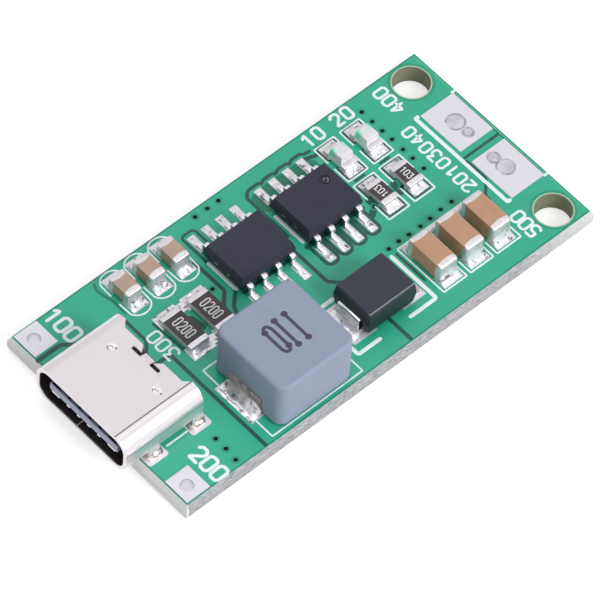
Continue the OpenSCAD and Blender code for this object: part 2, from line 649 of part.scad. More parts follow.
// Inductor: a moulded block on two flat terminals that climb its ends.
module inductor_body() color([0.58, 0.62, 0.72]) at(inductor_x, near_row, land_thickness + terminal_thickness)
  crowned_block(inductor_length, inductor_width, inductor_height, inductor_corner, inductor_edge);
module inductor_ends() at(inductor_x, near_row, land_thickness) for (s = [0, 180]) rotate([0, 0, s])
  translate([inductor_length / 2, 0, 0]) children();
module inductor_terminals() color([0.72, 0.58, 0.5]) inductor_ends() {
  translate([terminal_thickness / 2, 0, 0]) block(terminal_thickness, terminal_width, terminal_height);
  translate([-terminal_foot / 2 + eps / 2, 0, 0])
    block(terminal_foot + eps, terminal_width, terminal_thickness);
}
module inductor_lands() color(tin) inductor_ends()
  translate([(inductor_land_reach - terminal_foot) / 2, 0, -land_thickness])
    block(inductor_land_reach + terminal_foot, terminal_width + 0.6, land_thickness);
module inductor_solder() color(tin) inductor_ends() translate([terminal_thickness, 0, 0])
  fillet_wall(inductor_land_reach - terminal_thickness, solder_climb * terminal_height, terminal_width);

// Socket, from its mouth: at() for it, with x into the socket, y across and z up off the board.
module in_socket() at(-socket_overhang, board_width / 2) children();
module socket_section(inset)
  translate([0, socket_height / 2])
    rounded(socket_width - 2 * inset, socket_height - 2 * inset, socket_corner - inset);
module along_socket(from, to) translate([from, 0, 0]) rotate([90, 0, 90]) linear_extrude(to - from)
  children();

// Shell: a folded sheet with a seam under the mouth, a notched rear edge and four legs.
module socket_shell() color(nickel) in_socket() {
  window = socket_notch - rear_strip - relief_slot;
  notch = socket_width / 2 - ear_width;
  tab_side = tab_width / 2 + tab_gap;
  seam = 0.08;
  difference() {
    along_socket(0, socket_length) socket_section(0);
    along_socket(-1, socket_length + 1) socket_section(shell_wall);
    // Notch between the ears, with slanted ends.
    translate([socket_notch, 0, -1]) linear_extrude(socket_height + 2)
      polygon([for (e = [[0, -1], [2, -1], [2, 1], [0, 1]])
                 [e[0] * ear_length, e[1] * (notch + (e[0] - 1) * ear_length)]]);
    // Way out for the contact tails, under the insulator.
    translate([insulator_foot - foot_gap, -notch, -1])
      cube([socket_length, 2 * notch, 1 + shell_wall + eps]);
    // Closing slot, and the strip cut back beside the bent tab.
    translate([window + relief_slot / 2, 0, socket_height - shell_wall - eps]) linear_extrude(1) {
      rotate(90) slot(relief_width, relief_slot);
      polygon([[-relief_slot / 2, -tab_side], [relief_slot / 2, -tab_side],
               [rear_strip + relief_slot, -2 * tab_side], [rear_strip + relief_slot, 2 * tab_side],
               [relief_slot / 2, tab_side], [-relief_slot / 2, tab_side]]);
    }
    // Two pressed marks in the top.
    for (s = [-1, 1])
      translate([socket_length / 3 * 2, s * socket_width / 4, socket_height + 0.2]) sphere(0.33);
    // Seam of the folded sheet.
    translate([-1, 0.45, -1]) cube([insulator_foot + 1, seam, 1 + shell_wall + eps]);
  }
  // Bent tab, out of the top plate and down towards the rear.
  along_tab = relief_slot + tab_length;
  drop = 0.22;
  rotate([90, 0, 0]) translate([0, 0, -tab_width / 2]) linear_extrude(tab_width)
    polygon([[window, socket_height - shell_wall], [window, socket_height],
             [window + along_tab, socket_height - drop],
             [window + along_tab, socket_height - drop - shell_wall + 0.08]]);
  for (x = leg_places, s = [-1, 1])
    translate([x, s * leg_side, -board_thickness + 0.2])
      block(leg_width, shell_wall, board_thickness - 0.2 + socket_height / 2);
}

// Insulator: fills the back of the shell and stands on the board where the shell is open below.
module socket_insulator() color(black) in_socket() {
  foot_side = socket_width / 2 - ear_width - foot_gap;
  room = tab_width + 2 * tab_gap;
  difference() {
    union() {
      along_socket(mouth_depth, insulator_end) socket_section(shell_wall);
      translate([insulator_foot, -foot_side, 0])
        cube([insulator_end - insulator_foot, 2 * foot_side, 2 * shell_wall]);
    }
    // Room for the bent tab, and for each tail where it comes out below.
    translate([socket_notch - rear_strip - relief_slot, -room / 2, socket_height - 2 * shell_wall])
      cube([socket_length, room, socket_height]);
    each_tail() translate([insulator_foot - eps, 0, -eps])
      cube_from(socket_length, contact_thickness + land_thickness + eps);
  }
}
module each_tail() for (k = [0 : len(contact_places) - 1], s = [-1, 1])
  translate([0, s * contact_places[k][0], 0]) {
    $tail = tail_widths[k];
    children();
  }
module cube_from(run, h) translate([0, -$tail / 2, 0]) cube([run, $tail, h]);

// Tongue: a thin blade down the middle of the mouth, thicker at its root.
module socket_tongue() color([0.45, 0.47, 0.55]) in_socket() translate([0, 0, tongue_z]) {
  translate([tongue_recess, -tongue_width / 2, -tongue_thickness / 2])
    cube([mouth_depth - tongue_recess, tongue_width, tongue_thickness]);
  translate([mouth_depth - tongue_root, -tongue_width / 2 - root_side, -tongue_thickness / 2 - root_rise])
    cube([tongue_root, tongue_width + 2 * root_side, tongue_thickness + 2 * root_rise]);
}

// Contacts: a strip on each face of the tongue, and a tail on the board behind the insulator.
module socket_contacts() color([0.9, 0.8, 0.5]) in_socket() {
  for (c = contact_places, s = [-1, 1], up = [0, 1])
    translate([tongue_recess, s * c[0] - c[1] / 2,
               tongue_z + (up ? tongue_thickness / 2 : -tongue_thickness / 2 - contact_thickness)])
      cube([mouth_depth - tongue_root - tongue_recess, c[1], contact_thickness]);
  each_tail() translate([insulator_foot, 0, land_thickness])
    cube_from(socket_notch + tail_length - insulator_foot, contact_thickness);
}
module socket_tail_lands() color(tin) in_socket()
  each_tail() translate([insulator_foot, 0, 0])
    cube_from(socket_notch + tail_length + tail_land_reach - insulator_foot, land_thickness);

// Lands round the leg slots, and the solder that fills each slot and heaps round its leg.
module each_leg() for (x = leg_places, s = [-1, 1]) in_socket() translate([x, s * leg_side, 0]) children();
module socket_leg_lands() color(tin) each_leg() difference() {
  linear_extrude(land_thickness)
    round_cornered(leg_slot[0] + 2 * leg_ring, leg_slot[1] + 2 * leg_ring_side, leg_land_corner);
  translate([0, 0, -1]) linear_extrude(2) slot(leg_slot[0], leg_slot[1]);
}
module mound(l, w, h, run) {
  for (s = [-1, 1]) translate([s * (l - w) / 2, 0, 0]) cylinder(h = h, r1 = w / 2, r2 = w / 2 - run);
  rotate([90, 0, 90]) translate([0, 0, -(l - w) / 2]) linear_extrude(l - w)
    polygon([[-w / 2, 0], [w / 2, 0], [w / 2 - run, h], [-w / 2 + run, h]]);
}
module socket_solder() color(tin) each_leg() difference() {
  union() {
    translate([0, 0, -board_thickness]) linear_extrude(board_thickness + land_thickness)
      slot(leg_slot[0], leg_slot[1]);
    translate([0, 0, land_thickness]) mound(leg_slot[0] + leg_ring, leg_slot[1] + leg_ring, 0.16, 0.2);
  }
  translate([0, 0, -board_thickness + 0.2]) block(leg_width, shell_wall, board_thickness + 2);
}

circuit_board();
wire_pad_far();
wire_pad_near();
battery_pad_far();
battery_pad_near();
socket_leg_lands();
socket_tail_lands();
input_capacitor_lands();
sense_resistor_lands();
circuit_lands();
inductor_lands();
diode_lands();
output_capacitor_lands();
lamp_lands();
lamp_resistor_lands();
socket_shell();
socket_insulator();
socket_tongue();
socket_contacts();
socket_solder();
inductor_body();
inductor_terminals();
inductor_solder();
converter_body();
converter_leads();
charger_body();
charger_leads();
circuit_solder();
diode_body();
diode_leads();
diode_solder();
input_capacitor_bodies();
input_capacitor_ends();
input_capacitor_solder();
output_capacitor_bodies();
output_capacitor_ends();
output_capacitor_solder();
sense_resistor_bodies();
sense_resistor_glazes();
sense_resistor_ends();
sense_resistor_solder();
lamp_resistor_bodies();
lamp_resistor_glazes();
lamp_resistor_ends();
lamp_resistor_solder();
lamp_bases();
lamp_lenses();
lamp_ends();
lamp_solder();
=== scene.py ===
import math

import bmesh
import bpy
from mathutils import Matrix, Vector, noise


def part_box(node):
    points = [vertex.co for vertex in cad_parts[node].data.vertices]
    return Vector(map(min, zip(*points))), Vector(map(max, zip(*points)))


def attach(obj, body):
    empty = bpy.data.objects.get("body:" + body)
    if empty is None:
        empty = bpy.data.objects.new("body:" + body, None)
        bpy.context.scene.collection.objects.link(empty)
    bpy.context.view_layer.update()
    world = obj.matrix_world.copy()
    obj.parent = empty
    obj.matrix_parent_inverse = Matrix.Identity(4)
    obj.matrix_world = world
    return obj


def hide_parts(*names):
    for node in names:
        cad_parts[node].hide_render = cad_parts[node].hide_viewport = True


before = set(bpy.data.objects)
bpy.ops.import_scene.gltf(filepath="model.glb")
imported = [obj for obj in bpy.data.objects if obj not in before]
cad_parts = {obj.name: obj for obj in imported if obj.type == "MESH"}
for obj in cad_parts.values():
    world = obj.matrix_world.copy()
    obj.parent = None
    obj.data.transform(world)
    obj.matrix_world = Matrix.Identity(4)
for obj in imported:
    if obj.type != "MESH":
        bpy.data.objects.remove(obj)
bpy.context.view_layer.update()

# Camera
# Set where the photograph was taken from, worked out from the board's corners and the lean of the
# upright edges. It looks at a point on the board's face, in millimetres from the origin.
MM = 0.001
target = Vector((-1.66, -1.455, 1.6)) * MM
azimuth, elevation, roll = math.radians(-46.01), math.radians(54.83), math.radians(4.57)
distance = 413.1 * MM
focal_px, image_px, sensor_mm = 6184.0, 600.0, 36.0
back = Vector((math.sin(azimuth) * math.cos(elevation),
               -math.cos(azimuth) * math.cos(elevation), math.sin(elevation)))
right = Vector((math.cos(azimuth), math.sin(azimuth), 0.0))
up = back.cross(right)
right, up = (right * math.cos(roll) + up * math.sin(roll),
             up * math.cos(roll) - right * math.sin(roll))
camera_data = bpy.data.cameras.new("camera")
camera_data.sensor_width = sensor_mm
camera_data.lens = sensor_mm * focal_px / image_px
camera_data.clip_start = 0.02
camera = bpy.data.objects.new("camera", camera_data)
axes = Matrix((right, up, back)).transposed().to_4x4()
camera.matrix_world = Matrix.Translation(target + back * distance) @ axes
bpy.context.scene.collection.objects.link(camera)
bpy.context.scene.camera = camera

# Floor
# Plain and pale, a hair below the board. The camera, and metal or glass that mirrors it, see it
# white, and it keeps the board's soft shadow.
def feed(tree, socket, value):
    """Links a shader socket to another one, or sets it to a plain value."""
    if isinstance(value, bpy.types.NodeSocket):
        tree.links.new(value, socket)
    else:
        socket.default_value = value


def math_node(tree, operation, a, b=0.0):
    """A math node on two values or links, and its result."""
    node = tree.nodes.new("ShaderNodeMath")
    node.operation = operation
    feed(tree, node.inputs[0], a)
    feed(tree, node.inputs[1], b)
    return node.outputs[0]


def looked_at(tree):
    """One where the camera looks, or a mirror or glass does, and nothing for plain light."""
    path = tree.nodes.new("ShaderNodeLightPath").outputs
    seen = math_node(tree, "MAXIMUM", path["Is Camera Ray"], path["Is Glossy Ray"])
    return math_node(tree, "MAXIMUM", seen, path["Is Transmission Ray"])


floor_reach, floor_drop = 1.5, 0.02 * MM
floor_grey, floor_glow = 0.8, 0.5
bm = bmesh.new()
bmesh.ops.create_grid(bm, x_segments=1, y_segments=1, size=floor_reach)
floor_mesh = bpy.data.meshes.new("floor")
bm.to_mesh(floor_mesh)
bm.free()
floor = bpy.data.objects.new("floor", floor_mesh)
floor.location.z = -floor_drop
bpy.context.scene.collection.objects.link(floor)
floor_material = bpy.data.materials.new("floor")
floor_material.use_nodes = True
tree = floor_material.node_tree
tree.nodes.remove(tree.nodes["Principled BSDF"])
matt = tree.nodes.new("ShaderNodeBsdfDiffuse")
matt.inputs["Color"].default_value = (floor_grey, floor_grey, floor_grey, 1)
glow = tree.nodes.new("ShaderNodeEmission")
feed(tree, glow.inputs["Strength"], math_node(tree, "MULTIPLY", looked_at(tree), floor_glow))
both = tree.nodes.new("ShaderNodeAddShader")
tree.links.new(matt.outputs[0], both.inputs[0])
tree.links.new(glow.outputs[0], both.inputs[1])
tree.links.new(both.outputs[0], tree.nodes["Material Output"].inputs["Surface"])
floor.data.materials.append(floor_material)

# Light
# A pale world all round that a mirror sees brighter, and two broad soft lamps: one in front of the
# near long edge, and one above.
world_strength, seen_more = 0.44, 0.46
world = bpy.data.worlds.new("studio")
bpy.context.scene.world = world
world.use_nodes = True
tree = world.node_tree
sky = tree.nodes["Background"]
sky.inputs["Color"].default_value = (1.0, 1.0, 1.0, 1)
mirrored = math_node(tree, "MULTIPLY", looked_at(tree), seen_more)
feed(tree, sky.inputs["Strength"], math_node(tree, "ADD", mirrored, world_strength))


def lamp(name, where, size, energy):
    """A square area lamp that faces the board, in metres and watts."""
    data = bpy.data.lights.new(name, "AREA")
    data.shape = "SQUARE"
    data.size = size
    data.energy = energy
    obj = bpy.data.objects.new(name, data)
    obj.location = where
    obj.rotation_euler = (-Vector(where)).to_track_quat("-Z", "Y").to_euler()
    bpy.context.scene.collection.objects.link(obj)


lamp("key", (0.08, -0.44, 0.34), 0.3, 1.85)
lamp("top", (-0.02, 0.06, 0.6), 0.35, 0.7)

# Board
# Green solder mask on both faces of a glass-fibre laminate. The four edges are scored and snapped,
# so their middle is torn fibre, and the drilled holes show the same fibre.
def colour(r, g, b):
    """A colour given as on a screen, 0 to 255, made linear."""
    line = [c / 255 / 12.92 if c / 255 <= 0.04045 else ((c / 255 + 0.055) / 1.055) ** 2.4
            for c in (r, g, b)]
    return (*line, 1.0)


def group(name, inputs, outputs):
    """A new shader node group with its sockets, and the nodes at its two ends."""
    made = bpy.data.node_groups.new(name, "ShaderNodeTree")
    for label, kind, value in inputs:
        socket = made.interface.new_socket(label, in_out="INPUT", socket_type=kind)
        socket.default_value = value
    for label, kind in outputs:
        made.interface.new_socket(label, in_out="OUTPUT", socket_type=kind)
    return made, made.nodes.new("NodeGroupInput").outputs, made.nodes.new("NodeGroupOutput").inputs


def use_group(tree, made, values):
    """Places a node group with its inputs set or linked, and gives back its outputs."""
    node = tree.nodes.new("ShaderNodeGroup")
    node.node_tree = made
    for label, value in values.items():
        feed(tree, node.inputs[label], value)
    return node.outputs


def noise_node(tree, per_mm, detail, rough=0.5, stretch=(1, 1, 1)):
    """A noise on the object's own coordinates, with its count per millimetre."""
    squash = tree.nodes.new("ShaderNodeVectorMath")
    squash.operation = "MULTIPLY"
    feed(tree, squash.inputs[0], tree.nodes.new("ShaderNodeTexCoord").outputs["Object"])
    feed(tree, squash.inputs[1], stretch)
    cloud = tree.nodes.new("ShaderNodeTexNoise")
    for label, value in (("Vector", squash.outputs[0]), ("Detail", detail), ("Roughness", rough),
                         ("Scale", math_node(tree, "MULTIPLY", per_mm, 1 / MM))):
        feed(tree, cloud.inputs[label], value)
    return cloud.outputs["Fac"]


def map_range(tree, value, start, stop, top=1.0):
    """How far a value has come from one limit to the other, from nothing to a top."""
    node = tree.nodes.new("ShaderNodeMapRange")
    for label, limit in (("Value", value), ("From Min", start), ("From Max", stop),
                         ("To Max", top)):
        feed(tree, node.inputs[label], limit)
    return node.outputs["Result"]


def mixed(tree, factor, a, b, kind="FLOAT"):
    """A mix of two values, colours or vectors, and its result."""
    node = tree.nodes.new("ShaderNodeMix")
    node.data_type = kind
    for socket, value in zip([s for s in node.inputs if s.enabled], (factor, a, b)):
        feed(tree, socket, value)
    return [s for s in node.outputs if s.enabled][0]


def bump(tree, height, depth):
    """The normal of a bumpy skin, from a height and its depth in millimetres."""
    node = tree.nodes.new("ShaderNodeBump")
    feed(tree, node.inputs["Distance"], depth * MM)
    feed(tree, node.inputs["Height"], height)
    return node.outputs["Normal"]


# The mottle shifts a colour and its roughness a little from place to place.
mottle, way_in, way_out = group(
    "mottle",
    [("Base Color", "NodeSocketColor", (0.5, 0.5, 0.5, 1)),
     ("Second Color", "NodeSocketColor", (0.5, 0.5, 0.5, 1)),
     ("Scale", "NodeSocketFloat", 1.0), ("Amount", "NodeSocketFloat", 0.5),
     ("Roughness", "NodeSocketFloat", 0.5), ("Roughness Spread", "NodeSocketFloat", 0.1)],
    [("Base Color", "NodeSocketColor"), ("Roughness", "NodeSocketFloat")])
spread = map_range(mottle, noise_node(mottle, way_in["Scale"], 4, 0.6), 0.34, 0.66)
feed(mottle, way_out["Base Color"],
     mixed(mottle, math_node(mottle, "MULTIPLY", spread, way_in["Amount"]), way_in["Base Color"],
           way_in["Second Color"], "RGBA"))
shift = math_node(mottle, "MULTIPLY", math_node(mottle, "SUBTRACT", spread, 0.5),
                  way_in["Roughness Spread"])
feed(mottle, way_out["Roughness"], math_node(mottle, "ADD", way_in["Roughness"], shift))

# The relief gives a height for bump, from a coarse and a fine noise.
relief, way_in, way_out = group(
    "relief",
    [("Coarse Scale", "NodeSocketFloat", 2.0), ("Fine Scale", "NodeSocketFloat", 12.0),
     ("Fine Share", "NodeSocketFloat", 0.4)],
    [("Height", "NodeSocketFloat")])
fine_height = math_node(relief, "MULTIPLY", noise_node(relief, way_in["Fine Scale"], 3),
                        way_in["Fine Share"])
feed(relief, way_out["Height"],
     math_node(relief, "ADD", noise_node(relief, way_in["Coarse Scale"], 3), fine_height))


def finish(name, base, second=None, amount=0.5, patch=1.0, rough=0.5, rough_spread=0.1,
           coarse=2.0, fine=12.0, fine_share=0.4, depth=0.004, **shader):
    """A material from the two effects. Patch, coarse and fine are counts per millimetre, and depth
    is the bump's height in millimetres. The rest are the shader's own inputs."""
    made = bpy.data.materials.new(name)
    made.use_nodes = True
    tree = made.node_tree
    skin = tree.nodes["Principled BSDF"].inputs
    tones = use_group(tree, mottle, {
        "Base Color": base, "Second Color": second or base, "Scale": patch, "Amount": amount,
        "Roughness": rough, "Roughness Spread": rough_spread})
    waves = use_group(tree, relief, {"Coarse Scale": coarse, "Fine Scale": fine,
                                     "Fine Share": fine_share})
    feed(tree, skin["Base Color"], tones["Base Color"])
    feed(tree, skin["Roughness"], tones["Roughness"])
    feed(tree, skin["Normal"], bump(tree, waves["Height"], depth))
    for label, value in shader.items():
        skin[label.replace("_", " ")].default_value = value
    return made


def object_axis(tree):
    """The object's own X, Y and Z."""
    split = tree.nodes.new("ShaderNodeSeparateXYZ")
    feed(tree, split.inputs[0], tree.nodes.new("ShaderNodeTexCoord").outputs["Object"])
    return split.outputs


def over(made, label, where, value):
    """Where a mask is one, one of a material's shader inputs takes another value."""
    tree = made.node_tree
    socket = tree.nodes["Principled BSDF"].inputs[label]
    before = socket.links[0].from_socket if socket.is_linked else socket.default_value
    kind = {"Base Color": "RGBA", "Normal": "VECTOR"}.get(label, "FLOAT")
    feed(tree, socket, mixed(tree, where, before, value, kind))


def dress(names, made):
    """Gives carried-over pieces a material."""
    for name in names:
        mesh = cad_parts[name].data
        mesh.materials.clear()
        mesh.materials.append(made)
        for polygon in mesh.polygons:
            polygon.material_index = 0


def box_mm(name):
    """The low and high corners of a carried-over piece, in millimetres."""
    return [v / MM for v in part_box(name)]


lip, mask_depth = 0.2, 0.012
board_low, board_high = box_mm("circuit_board")
board_finish = finish("board", colour(46, 177, 144), colour(39, 168, 135), amount=0.7, patch=0.1,
                      rough=0.36, rough_spread=0.06, coarse=0.7, fine=8.0, fine_share=0.1,
                      depth=0.01, Coat_Weight=0.2, Coat_Roughness=0.15)
tree = board_finish.node_tree
axis = object_axis(tree)
wall = math_node(tree, "MULTIPLY",
                 math_node(tree, "LESS_THAN", axis["Z"], (board_high.z - mask_depth) * MM),
                 math_node(tree, "GREATER_THAN", axis["Z"], (board_low.z + mask_depth) * MM))
fibre = noise_node(tree, 2.4, 7, 0.75, (1.0, 1.0, 8.0))
ramp = tree.nodes.new("ShaderNodeValToRGB")
feed(tree, ramp.inputs["Fac"], fibre)
first, last = ramp.color_ramp.elements
first.position, first.color = 0.36, colour(108, 108, 110)
last.position, last.color = 0.6, colour(206, 207, 210)
ramp.color_ramp.elements.new(0.46).color = colour(166, 166, 169)
# The snapped end under the socket and the one by the battery pads are paler, and the drilled walls
# of the holes are browner.
torn_in = lip + 0.03
socket_end = math_node(tree, "MULTIPLY", 0.85,
                       math_node(tree, "LESS_THAN", axis["X"], (board_low.x + torn_in) * MM))
battery_end = map_range(tree, axis["X"], (board_high.x - 7) * MM, board_high.x * MM, 0.55)
torn_colour = mixed(tree, math_node(tree, "MAXIMUM", socket_end, battery_end),
                    ramp.outputs["Color"], colour(252, 255, 250), "RGBA")
torn_edge = math_node(tree, "MAXIMUM", *(
    math_node(tree, "GREATER_THAN", math_node(tree, "ABSOLUTE", place), (reach - torn_in) * MM)
    for place, reach in ((axis["X"], board_high.x), (axis["Y"], board_high.y))))
over(board_finish, "Base Color", wall,
     mixed(tree, torn_edge, colour(146, 148, 124), torn_colour, "RGBA"))
over(board_finish, "Roughness", wall, 0.8)
over(board_finish, "Normal", wall, bump(tree, fibre, 0.05))
over(board_finish, "Coat Weight", wall, 0.0)
dress(["circuit_board"], board_finish)

# Mask seams, painted shade, holes and borders
# Where the copper below the mask ends, the mask sinks and looks darker. The same dark line runs
# just inside the board's edge. Other dark strokes are painted shade: frames round the lands of the
# lamps and their resistors, bars under the near sides of the circuits, a line past the battery
# pads and wide rings round the fixing holes. Small plated holes join the two faces, and the fixing
# holes have a pale rim of bare fibre. All of it is laid on the board's face as flat strokes.

# Places on the board are in millimetres from its corner, inside the torn lip of its edges.
corner = Vector((board_low.x + lip, board_low.y + lip))
face = board_high.z
board_run = board_high.x - lip - corner.x
board_width = board_high.y - lip - corner.y


def piece(name, bm, made, slot, *replaced, smooth=38):
    """A new piece from a mesh in millimetres, in the part's own frame."""
    bmesh.ops.recalc_face_normals(bm, faces=bm.faces[:])
    bmesh.ops.scale(bm, vec=(MM, MM, MM), verts=bm.verts[:])
    mesh = bpy.data.meshes.new(name)
    bm.to_mesh(mesh)
    bm.free()
    mesh.materials.append(made)
    mesh.shade_smooth()
    mesh.set_sharp_from_angle(angle=math.radians(smooth))
    obj = bpy.data.objects.new(name, mesh)
    bpy.context.scene.collection.objects.link(obj)
    weigh = obj.modifiers.new("flat faces stay flat", "WEIGHTED_NORMAL")
    weigh.keep_sharp = True
    weigh.weight = 100
    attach(obj, "root")
    if replaced:
        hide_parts(*replaced)


def eased(points, width, closed):
    """A stroke's path with its corners cut round and blunt tips, each point with its share of the
    stroke's width."""
    points = [Vector(p) for p in points]
    path = []
    for i, here in enumerate(points):
        if not closed and i in (0, len(points) - 1):
            tip = (here - points[1 if i == 0 else -2]).normalized() * width / 2
            end = [(here, 1.0), (here + tip * 0.6, 0.8), (here + tip, 0.3)]
            path += end[::-1] if i == 0 else end
            continue
        to_last, to_next = points[i - 1] - here, points[(i + 1) % len(points)] - here
        cut = min(width / 2, to_last.length / 3, to_next.length / 3)
        a, b = here + to_last.normalized() * cut, here + to_next.normalized() * cut
        path += [(a, 1.0), ((a + b + here * 2) / 4, 1.0), (b, 1.0)]
    return path


def drawn(name, lines, made, slot, base=face, thick=0.02):
    """Flat strokes as one mesh. Each is its points from the board's corner, its width, and whether
    it closes. Base is the height of the face that carries them, and they stand half of thick
    above it."""
    whole = bmesh.new()
    for points, width, closed in lines:
        curve = bpy.data.curves.new(name, "CURVE")
        curve.dimensions = "3D"
        curve.bevel_depth = width / 2
        curve.bevel_resolution = 1
        curve.use_fill_caps = True
        path = eased(points, width, closed)
        spline = curve.splines.new("POLY")
        spline.points.add(len(path) - 1)
        spline.use_cyclic_u = closed
        for point, (where, share) in zip(spline.points, path):
            point.co = (*(corner + where), 0.0, 1.0)
            point.radius = share
        stroke = bpy.data.objects.new(name, curve)
        mesh = bpy.data.meshes.new_from_object(stroke)
        before = len(whole.verts)
        whole.from_mesh(mesh)
        whole.verts.ensure_lookup_table()
        for vert in whole.verts[before:]:
            vert.co.z = base + vert.co.z * thick / width
        bpy.data.objects.remove(stroke)
        bpy.data.curves.remove(curve)
        bpy.data.meshes.remove(mesh)
    piece(name, whole, made, slot)


def ring(x, y, radius, width, start=0, turn=360, steps=36):
    """A stroke along a circle or an arc of it, angles in degrees."""
    closed = turn == 360
    count = steps if closed else steps + 1
    angles = [math.radians(start + turn * i / steps) for i in range(count)]
    return [(x + radius * math.cos(a), y + radius * math.sin(a)) for a in angles], width, closed


def dot(x, y, radius):
    """A round spot, as a stroke of hardly any length."""
    return [(x - 0.005, y), (x + 0.005, y)], 2 * radius, False


def from_node(name):
    """A carried-over piece's shape as a clean mesh in millimetres, for a finished copy of it."""
    bm = bmesh.new()
    bm.from_mesh(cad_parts[name].data)
    bmesh.ops.scale(bm, vec=(1 / MM, 1 / MM, 1 / MM), verts=bm.verts[:])
    bmesh.ops.remove_doubles(bm, verts=bm.verts[:], dist=0.0005)
    bmesh.ops.dissolve_limit(bm, angle_limit=math.radians(0.6), verts=bm.verts[:],
                             edges=bm.edges[:])
    return bm


def solids(name):
    """The low and high corners of each solid of a carried-over piece, in millimetres, by X."""
    bm = from_node(name)
    left, found = set(bm.verts), []
    while left:
        solid = [left.pop()]
        for reached in solid:
            for edge in reached.link_edges:
                other = edge.other_vert(reached)
                if other in left:
                    left.remove(other)
                    solid.append(other)
        found.append([Vector(pick(v.co[i] for v in solid) for i in range(3))
                      for pick in (min, max)])
    bm.free()
    return sorted(found, key=lambda b: (round(b[0].x, 2), b[0].y))


lead_pitch, half_lead = 1.27, 0.2
first_lead = box_mm("charger_leads")[0].x - corner.x + half_lead
# Seams that can be followed on the face: the points, the width, and whether it closes.
seams_and_shade = [
    ([(0.1, 14.95), (2.0, 14.95), (2.75, 14.45)], 0.34, False),
    ([(6.05, 9.65), (7.07, 9.65), (7.07, 0.2)], 0.3, False),
    ([(6.0, 10.8), (6.6, 11.5), (6.6, 13.9)], 0.26, False),
    ([(13.92, 13.5), (13.92, 16.1), (14.1, 16.3), (14.9, 16.3), (15.07, 16.1), (15.07, 14.8)],
     0.2, False),
    ([(13.27, 14.2), (13.27, 11.15), (12.46, 10.33), (12.2, 9.5)], 0.3, False),
    ([(13.96, 10.8), (12.9, 9.8), (12.7, 9.3)], 0.3, False),
    ([(19.52, 11.7), (19.52, 15.85), (19.85, 16.2)] +
     [(19.9 + lead_pitch * i + dx, 16.2 + dy) for i in range(4)
      for dx, dy in ((0.2, 0.1), (1.05, 0.1), (1.17, -0.1))] + [(25.4, 16.05)], 0.26, False),
    ([(19.02, 10.4), (19.02, 7.25), (19.77, 6.5), (21.0, 6.5)], 0.3, False),
    ([(20.12, 2.3), (20.12, 0.2)], 0.3, False),
    ([(24.95, 9.3), (25.7, 9.75), (25.7, 10.4)], 0.5, False),
    ([(27.75, 9.5), (27.9, 10.3)], 0.5, False),
    ([(26.1, 12.17), (26.9, 12.17)], 0.2, False),
    ([(28.4, 12.17), (29.15, 12.17)], 0.2, False),
    ([(24.7, 15.75), (25.5, 15.5)], 0.34, False),
    ([(33.1, 8.78), (36.2, 8.78)], 0.22, False),
    ([(33.04, 8.5), (33.04, 6.6), (32.0, 5.55), (32.0, 5.2)], 0.22, False),
    ([(24.1, 3.1), (24.1, 5.9)], 0.2, False),
    # Painted shadow under the near sides of the two circuits.
    ([(19.9, 10.2), (24.9, 10.2)], 0.4, False),
    ([(14.2, 10.2), (18.6, 10.2)], 0.3, False),
    ([(10.05, 10.9), (10.2, 9.9)], 0.5, False),
    ([(7.85, 12.2), (7.95, 10.65), (8.02, 9.1)], 0.2, False),
]
# Each near land of the second circuit has its own rounded pocket.
for i in range(4):
    x = first_lead + lead_pitch * i
    seams_and_shade.append(([(x - 0.5, 10.0), (x - 0.5, 8.35), (x - 0.25, 8.05), (x + 0.25, 8.05),
                   (x + 0.5, 8.35), (x + 0.5, 10.0)], 0.26, False))
# The lands of the lamps and their resistors are framed in painted shade.
for name in ("lamp_lands", "lamp_resistor_lands"):
    for land_low, land_high in solids(name):
        x0, y0 = land_low.x - corner.x - 0.02, land_low.y - corner.y - 0.02
        x1, y1 = land_high.x - corner.x + 0.02, land_high.y - corner.y + 0.02
        seams_and_shade.append(([(x0, y0), (x1, y0), (x1, y1), (x0, y1)], 0.26, True))
# A line runs all round inside the edge, and a line of painted shade runs past the battery pads.
border, side_border = 0.27, 0.08
far_x, far_y = board_run - side_border, board_width - side_border
seams_and_shade.append(([(side_border, side_border), (far_x, side_border), (far_x, far_y),
               (side_border, far_y)], 0.05, True))
seams_and_shade.append(([(board_run - border, 4.5), (board_run - border, 13.1)], 0.09, False))
drawn("mask_seams_and_shade", seams_and_shade,
      finish("seam and shade mask", colour(24, 78, 68), colour(32, 92, 80), patch=0.4, rough=0.4, coarse=0.8,
             fine=8, depth=0.008), "solder_mask", thick=0.008)
# Two darker patches of mask: behind the second circuit, where the mask is thinner, and a narrow
# dark band beside the input capacitors.
drawn("mask_pocket", [([(20.4, 14.9), (24.2, 14.9)], 2.0, False),
                      ([(6.98, 17.2), (6.76, 16.6), (6.88, 15.95), (7.04, 15.4), (7.04, 14.1)],
                       0.2, False)],
      finish("pocket mask", colour(30, 120, 96), colour(36, 134, 106), amount=0.6, patch=0.4,
             rough=0.4), "solder_mask", thick=0.006)
strip = board_run - border / 2
drawn("mask_border", [([(strip, 0.15), (strip, board_width - 0.15)], border - 0.06, False)],
      finish("border mask", colour(76, 186, 150), colour(64, 172, 138), amount=0.6, patch=0.3,
             rough=0.4), "solder_mask", thick=0.006)

